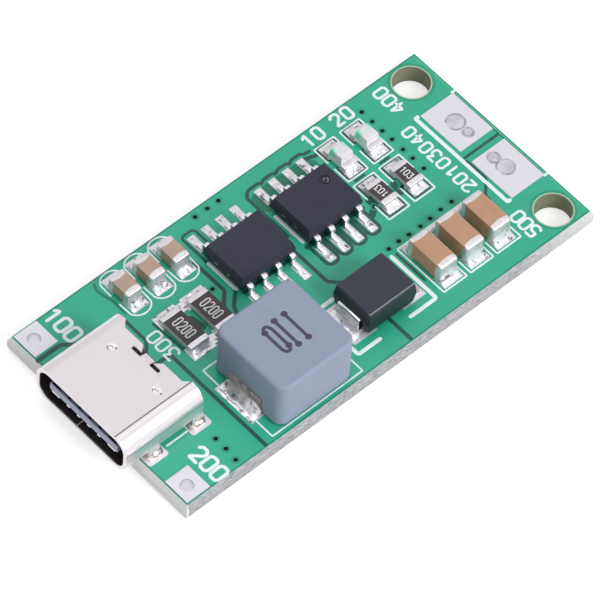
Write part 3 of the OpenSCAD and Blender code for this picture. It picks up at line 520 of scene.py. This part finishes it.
holes = [(15.82, 16.97), (16.92, 16.97), (17.92, 16.97), (23.98, 6.54), (24.94, 6.58),
         (25.84, 6.54), (26.89, 6.54), (27.84, 6.59), (28.89, 6.68), (29.9, 6.68), (4.9, 2.68),
         (4.89, 1.65), (4.79, 0.58), (25.63, 9.74), (28.19, 9.74), (12.76, 11.78), (10.75, 9.9),
         (23.0, 3.0)]
holes += [(30.38, y) for y in (16.19, 15.13, 14.11, 13.14, 12.03, 11.06, 9.94)]
drawn("hole_plugs", [dot(x, y, 0.17) for x, y in holes],
      finish("hole", colour(8, 50, 40), colour(2, 22, 17), amount=0.6, patch=4, rough=0.7,
             Specular_IOR_Level=0.1), "solder_mask", thick=0.012)
fixing_r, fixing_inset, fixing_end = 1.35, 1.7, 1.85
fixings = [(board_run - fixing_end, y) for y in (fixing_inset, board_width - fixing_inset)]
# The small rings round the plugged holes are their collars, and the wide rings round the fixing
# holes are painted shade.
drawn("hole_collars_and_shade", [ring(x, y, 0.27, 0.12, steps=14) for x, y in holes] +
      [ring(x, y, fixing_r + 0.21, 0.2, steps=48) for x, y in fixings],
      finish("collar and shade", colour(36, 150, 116), colour(44, 166, 130), rough=0.35), "solder_mask")
drawn("fixing_rims", [ring(x, y, fixing_r + 0.05, 0.09, steps=48) for x, y in fixings],
      finish("rim", colour(196, 206, 184), colour(160, 184, 160), patch=1.5, rough=0.6),
      "laminate")

# Print on the board
# White epoxy ink, screened on last. It outlines most of the parts, brackets the battery pads, and
# sets plain numbers by the holes, the lamps and the sense resistors.
# Each digit is a stroke in a cell 0.6 wide and 1 high, and closes or not.
strokes = {
    "0": ([(0.14, 0), (0.46, 0), (0.6, 0.14), (0.6, 0.86), (0.46, 1), (0.14, 1), (0, 0.86),
           (0, 0.14)], True),
    "1": ([(0.1, 0.78), (0.34, 1), (0.34, 0)], False),
    "2": ([(0, 0.84), (0.14, 1), (0.46, 1), (0.6, 0.86), (0.6, 0.62), (0, 0), (0.6, 0)], False),
    "3": ([(0, 1), (0.6, 1), (0.28, 0.6), (0.46, 0.6), (0.6, 0.44), (0.6, 0.14), (0.46, 0),
           (0.14, 0), (0, 0.14)], False),
    "4": ([(0.44, 0), (0.44, 1), (0, 0.3), (0.62, 0.3)], False),
    "5": ([(0.56, 1), (0.06, 1), (0.02, 0.58), (0.44, 0.58), (0.6, 0.42), (0.6, 0.14), (0.46, 0),
           (0.14, 0), (0, 0.12)], False),
}


def numbers(text, x, y, height, turn, width, step=0.86, narrow=1.0):
    """The strokes of a row of plain digits, centred on a place and turned about it. The step from
    one to the next is in digit heights."""
    run = Vector((math.cos(math.radians(turn)), math.sin(math.radians(turn))))
    rise = Vector((-run.y, run.x))
    start = -((len(text) - 1) * step + 0.6 * narrow) / 2
    rows = []
    for i, digit in enumerate(text):
        points, closed = strokes[digit]
        rows.append(([Vector((x, y)) + height * (run * (start + i * step + u * narrow)
                                                 + rise * (v - 0.5)) for u, v in points],
                     width, closed))
    return rows


def outline(x0, y0, x1, y1, gap, width):
    """A box drawn round a part, with a gap in the middle of each upright side."""
    middle = (y0 + y1) / 2
    return [([(x0, middle + s * gap / 2), (x0, y), (x1, y), (x1, middle + s * gap / 2)],
             width, False) for s, y in ((1, y1), (-1, y0))]


fine_line, thick_line = 0.13, 0.3
bow_width, bow_rise = 0.92, 0.8
print_lines = []
# Input capacitors: straight sides with an arc past each end.
for x in (8.13, 10.28, 12.4):
    for y, s in ((14.3, -1), (16.32, 1)):
        bow = [(x - s * bow_width * math.cos(math.radians(a)),
                y + s * (0.28 + bow_rise * math.sin(math.radians(a)))) for a in range(15, 166, 15)]
        sides = [(x - s * bow_width, y - s * 0.55), (x + s * bow_width, y - s * 0.55)]
        print_lines.append((sides[:1] + bow + sides[1:], fine_line, False))
# Inductor and output capacitors.
print_lines += [(points, fine_line, False) for points in (
    [(7.87, 2.05), (7.87, 0.4), (15.93, 0.4), (15.93, 7.27), (7.87, 7.27), (7.87, 5.75)],
    [(31.55, 6.15), (24.4, 6.15), (24.4, 1.53), (26.5, 1.53), (26.5, 2.7)],
    [(26.87, 2.7), (26.87, 1.53), (28.95, 1.53), (28.95, 2.7)],
    [(29.32, 2.7), (29.32, 1.53), (31.5, 1.53), (31.5, 2.7)])]
# Circuits, diode and battery pads.
print_lines += [(points, thick_line, False) for points in (
    [(13.96, 10.75), (13.96, 13.5)], [(19.99, 10.75), (19.99, 13.45)],
    [(21.35, 1.53), (23.69, 1.53), (23.69, 5.95)], [(18.55, 1.53), (16.6, 1.53), (16.6, 2.3)],
    [(17.4, 5.95), (18.3, 5.95)], [(33.0, 13.4), (32.8, 13.4), (32.8, 4.22), (33.0, 4.22)])]
# Socket, and the ticks at the board's end.
print_lines += [([(2.1, 4.34), (3.85, 4.34)], 0.15, False)]
print_lines += [([(36.25, y), (36.45, y)], 0.22, False) for y in (13.42, 4.2)]
# Lamps and their resistors.
for x in (26.6, 28.95):
    print_lines += outline(x - 0.9, 12.42, x + 0.9, 15.9, 0.7, fine_line)
    print_lines += outline(x - 0.93, 8.3, x + 0.93, 11.92, 0.8, fine_line)
# Numbers: the place, height, turn, width of stroke and step.
for text, *place in (
        ("100", 3.25, 16.05, 1.2, -90, 0.25, 0.83), ("200", 3.25, 1.5, 1.2, -90, 0.25, 0.83),
        ("300", 7.22, 10.5, 1.02, 90, 0.18, 0.85), ("10", 26.4, 16.8, 1.0, 0, 0.22, 0.95),
        ("20", 29.07, 16.8, 1.0, 0, 0.22, 0.95), ("20103040", 31.68, 9.85, 0.95, 90, 0.19, 0.9),
        ("400", 32.47, 15.7, 1.0, 90, 0.2, 0.85), ("500", 32.47, 2.08, 1.0, 90, 0.2, 0.78)):
    print_lines += numbers(text, *place)
drawn("board_print", print_lines,
      finish("ink", colour(240, 252, 252), colour(224, 242, 244), amount=0.4, patch=2.5,
             rough=0.55, coarse=4, fine=16, depth=0.006), "silkscreen", thick=0.03)

# Lands and solder pads
# Bare copper under a flat coat of tin. The battery pads carry the round marks that test pins
# leave in the tin.
tin = finish("tin", colour(227, 225, 234), colour(216, 213, 223), patch=0.5, rough=0.4,
             rough_spread=0.12, coarse=1.0, fine=6, fine_share=0.2, depth=0.006, Metallic=0.5)
# The plated walls of the wire holes are bright.
tree = tin.node_tree
plated = math_node(tree, "LESS_THAN", object_axis(tree)["Z"], (face - 0.1) * MM)
for label, value in (("Metallic", 1.0), ("Roughness", 0.25), ("Base Color", colour(236, 235, 242))):
    over(tin, label, plated, value)
dress([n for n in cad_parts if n.endswith("_lands") or "_pad_" in n], tin)
# Each mark is a shallow dent with a rim pushed up round most of it: its place, the dent's radius,
# and the rim's radius, width, start and turn.
pins = [(34.68, 11.39, 0.62, 0.66, 0.17, 200, 300), (34.74, 10.2, 0.3, 0.36, 0.22, 110, 320),
        (34.68, 6.4, 0.6, 0.64, 0.15, -150, 310), (34.6, 7.5, 0.4, 0.42, 0.2, -70, 320)]
pad_face = box_mm("battery_pad_far")[1].z
drawn("pin_dents", [dot(x, y, dent) for x, y, dent, *_ in pins],
      finish("pin dent", colour(190, 188, 197), colour(222, 220, 229), patch=1.3, amount=0.9,
             rough=0.4, Metallic=0.5), "tinned_copper", base=pad_face, thick=0.01)
drawn("pin_marks", [ring(x, y, *rim) for x, y, _, *rim in pins],
      finish("pin mark", colour(146, 144, 152), colour(198, 196, 206), patch=2.0, amount=0.9,
             rough=0.4, Metallic=0.8), "tinned_copper", base=pad_face, thick=0.016)

# Socket
# A nickel-plated steel shell, folded round a black moulding that carries a grey-blue tongue with
# its contacts. Four legs go down into slots in the board and are soldered there.
def soften(bm, width, segments=2, angle=28):
    """Rounds a mesh's sharp edges."""
    edges = [e for e in bm.edges if len(e.link_faces) == 2
             and e.calc_face_angle(0) > math.radians(angle)]
    bmesh.ops.bevel(bm, geom=edges, offset=width, offset_type="OFFSET", affect="EDGES",
                    segments=segments, profile=0.5, clamp_overlap=True, material=-1)
    return bm


shell_low, shell_high = box_mm("socket_shell")
shell_corner, shell_height, shell_wall = 1.2, 3.26, 0.2
shell_mid, shell_half = (shell_low.y + shell_high.y) / 2, (shell_high.y - shell_low.y) / 2
shell_finish = finish("shell", colour(227, 221, 225), colour(221, 215, 219), patch=0.3, rough=0.3,
                      rough_spread=0.06, coarse=0.3, fine=5, fine_share=0.05, Metallic=0.8)
tree = shell_finish.node_tree
axis = object_axis(tree)


def near(socket, place, reach):
    """One where a coordinate is no further than a reach from a place, in millimetres."""
    off = math_node(tree, "ABSOLUTE", math_node(tree, "SUBTRACT", socket, place * MM))
    return math_node(tree, "LESS_THAN", off, reach * MM)


def past(socket, middle, half):
    """How far a coordinate lies past the flat part of the shell's section, squared."""
    off = math_node(tree, "ABSOLUTE", math_node(tree, "SUBTRACT", socket, middle * MM))
    off = math_node(tree, "SUBTRACT", off, (half - shell_corner) * MM)
    off = math_node(tree, "MAXIMUM", off, 0.0)
    return math_node(tree, "MULTIPLY", off, off)


# Thin dark lines of painted shade show where the plate starts to bend and where it ends.
upper = math_node(tree, "MULTIPLY", near(axis["Y"], shell_mid - shell_half + shell_corner, 0.05),
                  near(axis["Z"], face + shell_height, 0.02))
lower = math_node(tree, "MULTIPLY", near(axis["Y"], shell_low.y, 0.05),
                  near(axis["Z"], face + shell_height - shell_corner, 0.035))
lower = math_node(tree, "MULTIPLY", lower, 0.8)
crease_shade = math_node(tree, "MULTIPLY", math_node(tree, "MAXIMUM", upper, lower), 0.8)
over(shell_finish, "Base Color", crease_shade, colour(78, 70, 68))
# The steel inside the mouth is painted dark and not metallic: painted shade, and a painted
# reflection of its own black moulding.
span = math_node(tree, "ADD", past(axis["Y"], shell_mid, shell_half),
                 past(axis["Z"], face + shell_height / 2, shell_height / 2))
inside = math_node(tree, "LESS_THAN", span, ((shell_corner - shell_wall) * MM) ** 2)
behind = math_node(tree, "GREATER_THAN", axis["X"], (shell_low.x + 0.09) * MM)
mouth_shade = math_node(tree, "MULTIPLY", inside, behind)
over(shell_finish, "Base Color", mouth_shade, colour(44, 38, 42))
over(shell_finish, "Metallic", mouth_shade, 0.0)
piece("shell", soften(from_node("socket_shell"), 0.05, 3), shell_finish, "socket_steel",
      "socket_shell")
dress(["socket_insulator"], finish("black moulding", colour(36, 31, 34), colour(46, 41, 45)))
piece("tongue", soften(from_node("socket_tongue"), 0.06),
      finish("tongue", colour(164, 170, 198), colour(142, 148, 178), rough=0.3),
      "tongue_moulding", "socket_tongue")
shell_top = face + shell_height
# Painted highlights and painted shade in the two pressed dents on the shell's top.
drawn("press_glints", [dot(3.05, 10.95, 0.3), dot(2.97, 6.4, 0.3)],
      finish("press glint", colour(252, 252, 252), colour(236, 232, 232), patch=3, rough=0.3),
      "socket_steel", base=shell_top, thick=0.006)
drawn("press_shades", [([(2.94, 11.2), (3.06, 10.98), (3.0, 10.86)], 0.07, False),
                      ([(2.9, 6.62), (3.0, 6.44), (2.94, 6.32)], 0.07, False),
                      dot(3.14, 10.72, 0.08), dot(2.98, 6.08, 0.08)],
      finish("press shade", colour(112, 98, 92), colour(150, 138, 132), patch=4, rough=0.4,
             Metallic=0.5), "socket_steel", base=shell_top, thick=0.014)
# The upper contacts sit in the shade of the shell, so only the lower ones shine.
contact_finish = finish("contact", colour(240, 237, 236), colour(222, 216, 206), rough=0.25,
                        Metallic=0.8)
tree = contact_finish.node_tree
shaded = math_node(tree, "GREATER_THAN", object_axis(tree)["Z"],
                   sum(v.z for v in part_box("socket_tongue")) / 2)
over(contact_finish, "Base Color", shaded, colour(74, 76, 98))
piece("contacts", soften(from_node("socket_contacts"), 0.025, 1), contact_finish, "contact_metal",
      "socket_contacts")

# Solder is a crinkled pale metal with small dark specks.
solder = finish("solder", colour(240, 238, 242), colour(206, 204, 210), patch=1.5, rough=0.3,
                rough_spread=0.2, coarse=1.4, fine=4, fine_share=0.25, depth=0.04, Metallic=0.6)
tree = solder.node_tree
over(solder, "Base Color", map_range(tree, noise_node(tree, 2.2, 3, 0.6), 0.57, 0.64, 0.85),
     colour(84, 80, 82))
dress(["sense_resistor_lands"], solder)


def ripple(point, per_mm):
    """A smooth noise at a point, from minus one to one."""
    return noise.noise(Vector(point) * per_mm)


legs = from_node("socket_solder")
mound_run, mound_width, mound_rise = 0.6, 0.44, 0.42
for leg_low, leg_high in solids("socket_solder"):
    middle = (leg_low + leg_high) / 2
    drop = bmesh.ops.create_uvsphere(legs, u_segments=28, v_segments=14, radius=1.0)["verts"]
    for vert in drop:
        x, y, z = vert.co
        lump = 1 + 0.16 * ripple((x, y, z + middle.x), 1.6)
        vert.co = Vector((middle.x + 0.1 + x * mound_run * lump, middle.y + y * mound_width * lump,
                          face + 0.06 + max(z, -0.1) * mound_rise * lump))
piece("leg_solder", legs,
      finish("leg solder", colour(238, 232, 226), colour(120, 108, 96), amount=0.75, patch=1.6,
             rough=0.16, rough_spread=0.2, coarse=2, fine=7, depth=0.05, Metallic=1.0),
      "solder", "socket_solder")

# Inductor
# A square block of pressed powder with a grey-blue skin, on two copper strips that climb its
# ends. A plain number is jetted on its top, so each stroke ends in a blot.
powder = finish("pressed powder", colour(152, 162, 184), colour(146, 156, 178), patch=0.8,
                rough=0.66, rough_spread=0.05, coarse=5, fine=24, fine_share=0.8, depth=0.008,
                Specular_IOR_Level=0.3)
piece("inductor_block", from_node("inductor_body"), powder, "inductor_moulding", "inductor_body",
      smooth=50)
block_low, block_high = box_mm("inductor_body")
block_mid = (block_low + block_high) / 2
print_x, print_y = block_mid.x - corner.x + 0.1, block_mid.y - corner.y + 0.05
jetted = []
for text, dx in (("0", -0.84), ("1", 0.04), ("1", 0.92)):
    (path, width, closed), = numbers(text, print_x + dx, print_y, 2.4, 180, 0.25, narrow=0.4)
    path = path if closed else path[1:]
    jetted.append((path, width, closed))
    blots = (path[6], path[2]) if closed else (path[0], path[-1])
    jetted += [dot(*blot, 0.24) for blot in blots]
drawn("inductor_print", jetted,
      finish("jet ink", colour(66, 58, 80), colour(78, 74, 104), patch=3, rough=0.6),
      "inductor_moulding", base=block_high.z)


def crumple(bm, cuts, per_mm, reach, longest=0.16):
    """Divides a mesh and pushes its points about by a smooth noise, save the lowest ones."""
    bmesh.ops.triangulate(bm, faces=bm.faces[:])
    for _ in range(cuts):
        long_edges = [e for e in bm.edges if e.calc_length() > longest]
        bmesh.ops.subdivide_edges(bm, edges=long_edges, cuts=1)
        bmesh.ops.triangulate(bm, faces=bm.faces[:])
    foot = min(v.co.z for v in bm.verts)
    for vert in bm.verts:
        if vert.co.z > foot + 0.02:
            vert.co += reach * Vector((ripple(vert.co, per_mm), ripple(vert.co.yzx, per_mm),
                                       ripple(vert.co.zxy, per_mm)))
    return bm


def solder_ramp(bm, foot, out, wide, reach, rise, spill, rough):
    """A hollow solder fillet with a crinkled skin. It runs from a wall at a foot point outwards,
    rises up the wall and spills wider as it goes out."""
    side = Vector((-out.y, out.x, 0))
    ramp = bmesh.ops.create_grid(bm, x_segments=14, y_segments=12, size=0.5)["verts"]
    for vert in ramp:
        across, along = vert.co.x * 2, vert.co.y + 0.5
        where = foot + out * (along * reach - 0.02) + side * (across * (wide / 2 + spill * along))
        climb = rise * (1 - along) ** 2.3 * (1 - 0.45 * across ** 4)
        to_rim = (1 - across ** 6) * (1 - along ** 8)
        wave = ripple(where, 3.1) + 0.6 * ripple(where, 7.3)
        skin = to_rim * (0.035 + rough * wave * (0.35 + along))
        vert.co = where + Vector((0, 0, climb + skin))
    rim = {e for v in ramp for e in v.link_edges if len(e.link_faces) == 1}
    skirt = bmesh.ops.extrude_edge_only(bm, edges=list(rim))["geom"]
    for vert in (g for g in skirt if isinstance(g, bmesh.types.BMVert)):
        vert.co.z = foot.z - 0.01


def side_of(low, high, axis, middle):
    """Which side of a middle a box lies on, as one or minus one."""
    return 1 if (low[axis] + high[axis]) / 2 > middle else -1


def ramp_row(name, node, axis, middle, wider, rise, spill, rough):
    """Solder fillets in the places of a carried-over piece's solids. They run out along X or Y,
    axis 0 or 1, on both sides of a middle."""
    bm = bmesh.new()
    for low, high in solids(node):
        foot, out = (low + high) / 2, Vector((0, 0, 0))
        out[axis] = side_of(low, high, axis, middle)
        foot[axis] = low[axis] if out[axis] > 0 else high[axis]
        foot.z = low.z
        size = high - low
        solder_ramp(bm, foot, out, size[1 - axis] + wider, size[axis], rise, spill, rough)
    piece(name, bm, solder, "solder", node)


strips = soften(from_node("inductor_terminals"), 0.04, 1)
piece("terminals", crumple(strips, 4, 2.0, 0.04),
      finish("terminal", colour(200, 182, 182), colour(98, 82, 80), amount=0.85, patch=1.7,
             rough=0.32, rough_spread=0.2, coarse=3, fine=9, depth=0.05, Metallic=0.4),
      "terminal_copper", "inductor_terminals")
ramp_row("inductor_ramps", "inductor_solder", 0, block_mid.x, wider=0.3, rise=0.75, spill=0.1,
         rough=0.16)

# Circuits
# Two dark epoxy mouldings with four gull-wing leads along each long side. Their tinned leads stand
# on their own lands in a thin, creased coat of solder. The second has a round dimple.
epoxy = finish("epoxy", colour(58, 59, 73), colour(53, 54, 67), patch=0.9, rough=0.6,
               rough_spread=0.05, coarse=6, fine=26, fine_share=0.9, depth=0.006,
               Specular_IOR_Level=0.2)
lead_tin = finish("lead tin", colour(240, 236, 242), colour(206, 200, 208), patch=2, rough=0.3,
                  rough_spread=0.15, coarse=3, fine=10, depth=0.015, Metallic=0.9)
for name in ("converter", "charger"):
    piece(name, soften(from_node(name + "_body"), 0.05, angle=14), epoxy, "circuit_moulding",
          name + "_body")
for name in ("converter", "charger"):
    piece(name + "_gull_wings", soften(from_node(name + "_leads"), 0.045), lead_tin, "lead_metal",
          name + "_leads")
# The dimple's rim is in shade on one side and catches the light on the other.
dimple_x, dimple_y = 23.76, 12.79
body_top = box_mm("charger_body")[1].z
drawn("dimple_rim", [ring(dimple_x, dimple_y, 0.34, 0.1, 10, 290)],
      finish("dimple shade", colour(30, 30, 38), rough=0.6, Specular_IOR_Level=0.2),
      "circuit_moulding", base=body_top, thick=0.008)
drawn("dimple_glint", [ring(dimple_x, dimple_y, 0.22, 0.1, -80, 90),
                       ([(dimple_x - 0.06, dimple_y + 0.05), (dimple_x + 0.06, dimple_y + 0.12)],
                        0.1, False)],
      finish("dimple glint", colour(112, 113, 126), rough=0.5), "circuit_moulding",
      base=body_top, thick=0.008)
creases = bmesh.new()
land_boxes, crease_run = solids("circuit_lands"), 0.95
lands_mid = (land_boxes[0][0].y + land_boxes[1][1].y) / 2
for land_low, land_high in land_boxes:
    s = side_of(land_low, land_high, 1, lands_mid)
    foot = Vector(((land_low.x + land_high.x) / 2,
                   land_high.y - crease_run if s > 0 else land_low.y + crease_run, land_high.z))
    solder_ramp(creases, foot, Vector((0, s, 0)), land_high.x - land_low.x - 0.08,
                crease_run - 0.05, 0.14, 0.0, 0.06)
piece("circuit_creases", creases, solder, "solder", "circuit_solder")


def cube(bm, middle, size):
    """A block by its middle and its size. It gives back its corners."""
    place = Matrix.Translation(middle) @ Matrix.Diagonal((*size, 1))
    return bmesh.ops.create_cube(bm, size=1.0, matrix=place)["verts"]


# The frame that held each moulding is cut off at its ends, and leaves two bright spots there.
tie_bars = bmesh.new()
for name in ("converter_body", "charger_body"):
    low, high = box_mm(name)
    for x in (low.x, high.x):
        for y in (-0.6, 0.6):
            cube(tie_bars, Vector((x, (low.y + high.y) / 2 + y, (low.z + high.z) / 2)),
                 (0.03, 0.3, 0.12))
piece("tie_bars", tie_bars, finish("cut lead", colour(190, 170, 150), rough=0.4, Metallic=1.0),
      "lead_metal")

# Diode
# The same epoxy in a taller moulding with rounder edges. A flat lead comes out of each end, turns
# down and folds back under it.
diode_epoxy = finish("diode epoxy", colour(56, 57, 70), colour(46, 54, 62), amount=0.6, patch=1.1,
                     rough=0.45, coarse=3, fine=18, fine_share=0.7, depth=0.01,
                     Specular_IOR_Level=0.3)
diode_low, diode_high = box_mm("diode_body")
tree = diode_epoxy.node_tree
axis = object_axis(tree)
# Painted shade: the sides darken towards the foot to a dark teal.
lower_shade = map_range(tree, axis["Z"], (diode_high.z - 0.08) * MM, (diode_high.z - 0.5) * MM)
over(diode_epoxy, "Base Color", lower_shade, colour(26, 42, 44))
# Its near top edge has a painted highlight.
edge_highlight = math_node(tree, "LESS_THAN", axis["Y"], (diode_low.y + 0.3) * MM)
for limit in (math_node(tree, "GREATER_THAN", axis["Z"], (diode_high.z - 0.085) * MM),
              math_node(tree, "LESS_THAN", axis["Z"], (diode_high.z - 0.015) * MM)):
    edge_highlight = math_node(tree, "MULTIPLY", edge_highlight, limit)
over(diode_epoxy, "Base Color", edge_highlight, colour(122, 128, 134))
piece("diode", soften(from_node("diode_body"), 0.12, 3), diode_epoxy, "diode_moulding",
      "diode_body")
piece("folded_leads", soften(from_node("diode_leads"), 0.05),
      finish("folded lead", colour(226, 224, 226), colour(186, 186, 184), patch=1.4, rough=0.24,
             coarse=2, fine=8, depth=0.02, Metallic=1.0), "lead_metal", "diode_leads")
ramp_row("diode_ramps", "diode_solder", 0, (diode_low.x + diode_high.x) / 2, wider=0.5, rise=0.35,
         spill=0.1, rough=0.06)

# Capacitors
# Blocks of fired tan ceramic, three at the input and three at the output. Each end is dipped in
# metal, so the metal's edge is bowed, and stands in a hollow fillet of solder.
def block(bm, low, high, edge):
    """A block between two corners with its edges rounded."""
    edges = {e for v in cube(bm, (high + low) / 2, high - low) for e in v.link_edges}
    bmesh.ops.bevel(bm, geom=list(edges), offset=edge, offset_type="OFFSET", affect="EDGES",
                    segments=2, profile=0.5, clamp_overlap=True, material=-1)


def dipped_end(whole, low, high, s, bow, edge, parts=8):
    """The metal on a chip's end: a round-edged block whose inner rim is bowed along the chip."""
    bm = bmesh.new()
    size, middle = high - low, (high + low) / 2
    cube(bm, middle, size)
    inner = low.y if s > 0 else high.y
    outer_edges = [e for e in bm.edges if not all(abs(v.co.y - inner) < 1e-4 for v in e.verts)]
    bmesh.ops.bevel(bm, geom=outer_edges, offset=edge, offset_type="OFFSET", affect="EDGES",
                    segments=3, profile=0.5, clamp_overlap=True, material=-1)
    for cut_along in (Vector((1, 0, 0)), Vector((0, 0, 1))):
        for step in range(1, parts):
            bmesh.ops.bisect_plane(bm, geom=bm.verts[:] + bm.edges[:] + bm.faces[:], dist=1e-5,
                                   plane_co=low + size * step / parts, plane_no=cut_along)
    for vert in bm.verts:
        if abs(vert.co.y - inner) < 1e-4:
            a = (2 * (vert.co.x - middle.x) / size.x) ** 2
            b = (2 * (vert.co.z - middle.z) / size.z) ** 2
            vert.co.y -= s * bow * ((1 - a) + (1 - b) - 1.1)
    mesh = bpy.data.meshes.new("end")
    bm.to_mesh(mesh)
    bm.free()
    whole.from_mesh(mesh)
    bpy.data.meshes.remove(mesh)


def dips(name, node, middle, bow, edge):
    """The metal ends of a row of chips that lie along Y."""
    ends = bmesh.new()
    for low, high in solids(node):
        dipped_end(ends, low, high, side_of(low, high, 1, middle), bow, edge)
    piece(name, ends, dip_metal, "chip_end_metal", node)


def chips(stem, body_finish, body_slot, edge, bow, rise, rough=0.05):
    """A row of chips from their carried-over pieces: bodies, dipped ends and solder."""
    bodies, tuck = bmesh.new(), Vector((0, 0.2, 0))
    boxes = solids(stem + "_bodies")
    for low, high in boxes:
        block(bodies, low + tuck, high - tuck, 0.05)
    piece(stem, bodies, body_finish, body_slot, stem + "_bodies")
    middle = sum(low.y + high.y for low, high in boxes) / 2 / len(boxes)
    dips(stem + "_dips", stem + "_ends", middle, bow, edge)
    ramp_row(stem + "_ramps", stem + "_solder", 1, middle, -0.04, rise, 0.03, rough)


dip_metal = finish("dip metal", colour(226, 221, 224), colour(196, 192, 196), patch=2.6, rough=0.4,
                   rough_spread=0.2, coarse=6, fine=20, depth=0.015, Metallic=0.85)
for stem, base, second, edge, bow, rise in (
        ("input_capacitor", colour(185, 160, 145), colour(174, 147, 128), 0.16, 0.15, 0.5),
        ("output_capacitor", colour(194, 152, 122), colour(182, 138, 108), 0.2, 0.14, 0.75)):
    ceramic = finish(stem.replace("_", " "), base, second, amount=0.6, patch=1.1, coarse=6, fine=24,
                     depth=0.005)
    chips(stem, ceramic, "capacitor_ceramic", edge, bow, rise, 0.07)

# Resistors
# White ceramic with a black glaze on top between two metal ends. The two sense resistors and the
# two lamps' resistors carry plain numbers in white.
alumina = finish("alumina", colour(214, 212, 212), colour(196, 192, 190), patch=3)
glaze = finish("glaze", colour(60, 52, 58), colour(50, 43, 50), amount=0.6, patch=2.5, rough=0.4,
               coarse=5, fine=20)
white_print = finish("white print", colour(232, 230, 232), colour(210, 208, 212), patch=5)
prints = []
# Print on each: the digits, height, turns, width of stroke, step and narrowing.
for stem, print_name, text, height, turns, *stroke in (
        ("sense_resistor", "sense_print", "0200", 0.84, (-90, -90), 0.1, 0.51, 0.52),
        ("lamp_resistor", "lamp_resistor_print", "103", 0.5, (90, -90), 0.085, 0.7, 0.8)):
    chips(stem, alumina, "resistor_ceramic", 0.07, 0.02, 0.3, 0.07)
    tops, lines = bmesh.new(), []
    for (low, high), turn in zip(solids(stem + "_glazes"), turns):
        block(tops, low, high, 0.025)
        middle = (low + high) / 2
        lines += numbers(text, middle.x - corner.x, middle.y - corner.y, height, turn, *stroke)
    piece(stem + "_tops", tops, glaze, "resistor_glaze", stem + "_glazes")
    prints.append((print_name, lines, high.z))
for print_name, lines, top in prints:
    drawn(print_name, lines, white_print, "resistor_glaze", base=top, thick=0.012)

# Lamps
# A pale base with metal ends, and a block of clear resin moulded on its middle, which looks white
# with painted green glints at its far corners.
resin = finish("resin", colour(238, 235, 240), colour(222, 220, 230), amount=0.6, patch=2.4,
               rough=0.16, coarse=4, fine=14, depth=0.02, Coat_Weight=0.5, Coat_Roughness=0.08)
lens_low, lens_high = box_mm("lamp_lenses")
lens_mid = (lens_low.y + lens_high.y) / 2
first_lens, second_lens = solids("lamp_lenses")
pitch = second_lens[0].x - first_lens[0].x
tree = resin.node_tree
axis = object_axis(tree)
far = map_range(tree, axis["Y"], (lens_high.y - 0.75) * MM, (lens_high.y - 0.4) * MM)
# How far a place lies from the middle of its own lens, in pitches.
first_mid = (first_lens[0].x + first_lens[1].x) / 2
across = math_node(tree, "SUBTRACT", axis["X"], first_mid * MM)
across = math_node(tree, "DIVIDE", across, pitch * MM)
across = math_node(tree, "ABSOLUTE",
                   math_node(tree, "SUBTRACT", across, math_node(tree, "ROUND", across)))
# Painted green glints at the far corners of each lens.
green_glint = math_node(tree, "MULTIPLY", far, map_range(tree, across, 0.08, 0.2))
over(resin, "Base Color", green_glint, colour(130, 238, 198))
lenses = soften(from_node("lamp_lenses"), 0.06)
piece("lenses", crumple(lenses, 3, 2.2, 0.03), resin, "lamp_lens", "lamp_lenses")
bases = bmesh.new()
for low, high in solids("lamp_bases"):
    block(bases, low, high, 0.03)
piece("bases", bases, finish("lamp base", colour(226, 238, 232), rough=0.4), "lamp_base",
      "lamp_bases")
dips("lamp_dips", "lamp_ends", lens_mid, 0.0, 0.05)
ramp_row("lamp_ramps", "lamp_solder", 1, lens_mid, wider=-0.1, rise=0.3, spill=0.03, rough=0.14)

bpy.context.scene.view_settings.view_transform = "Standard"
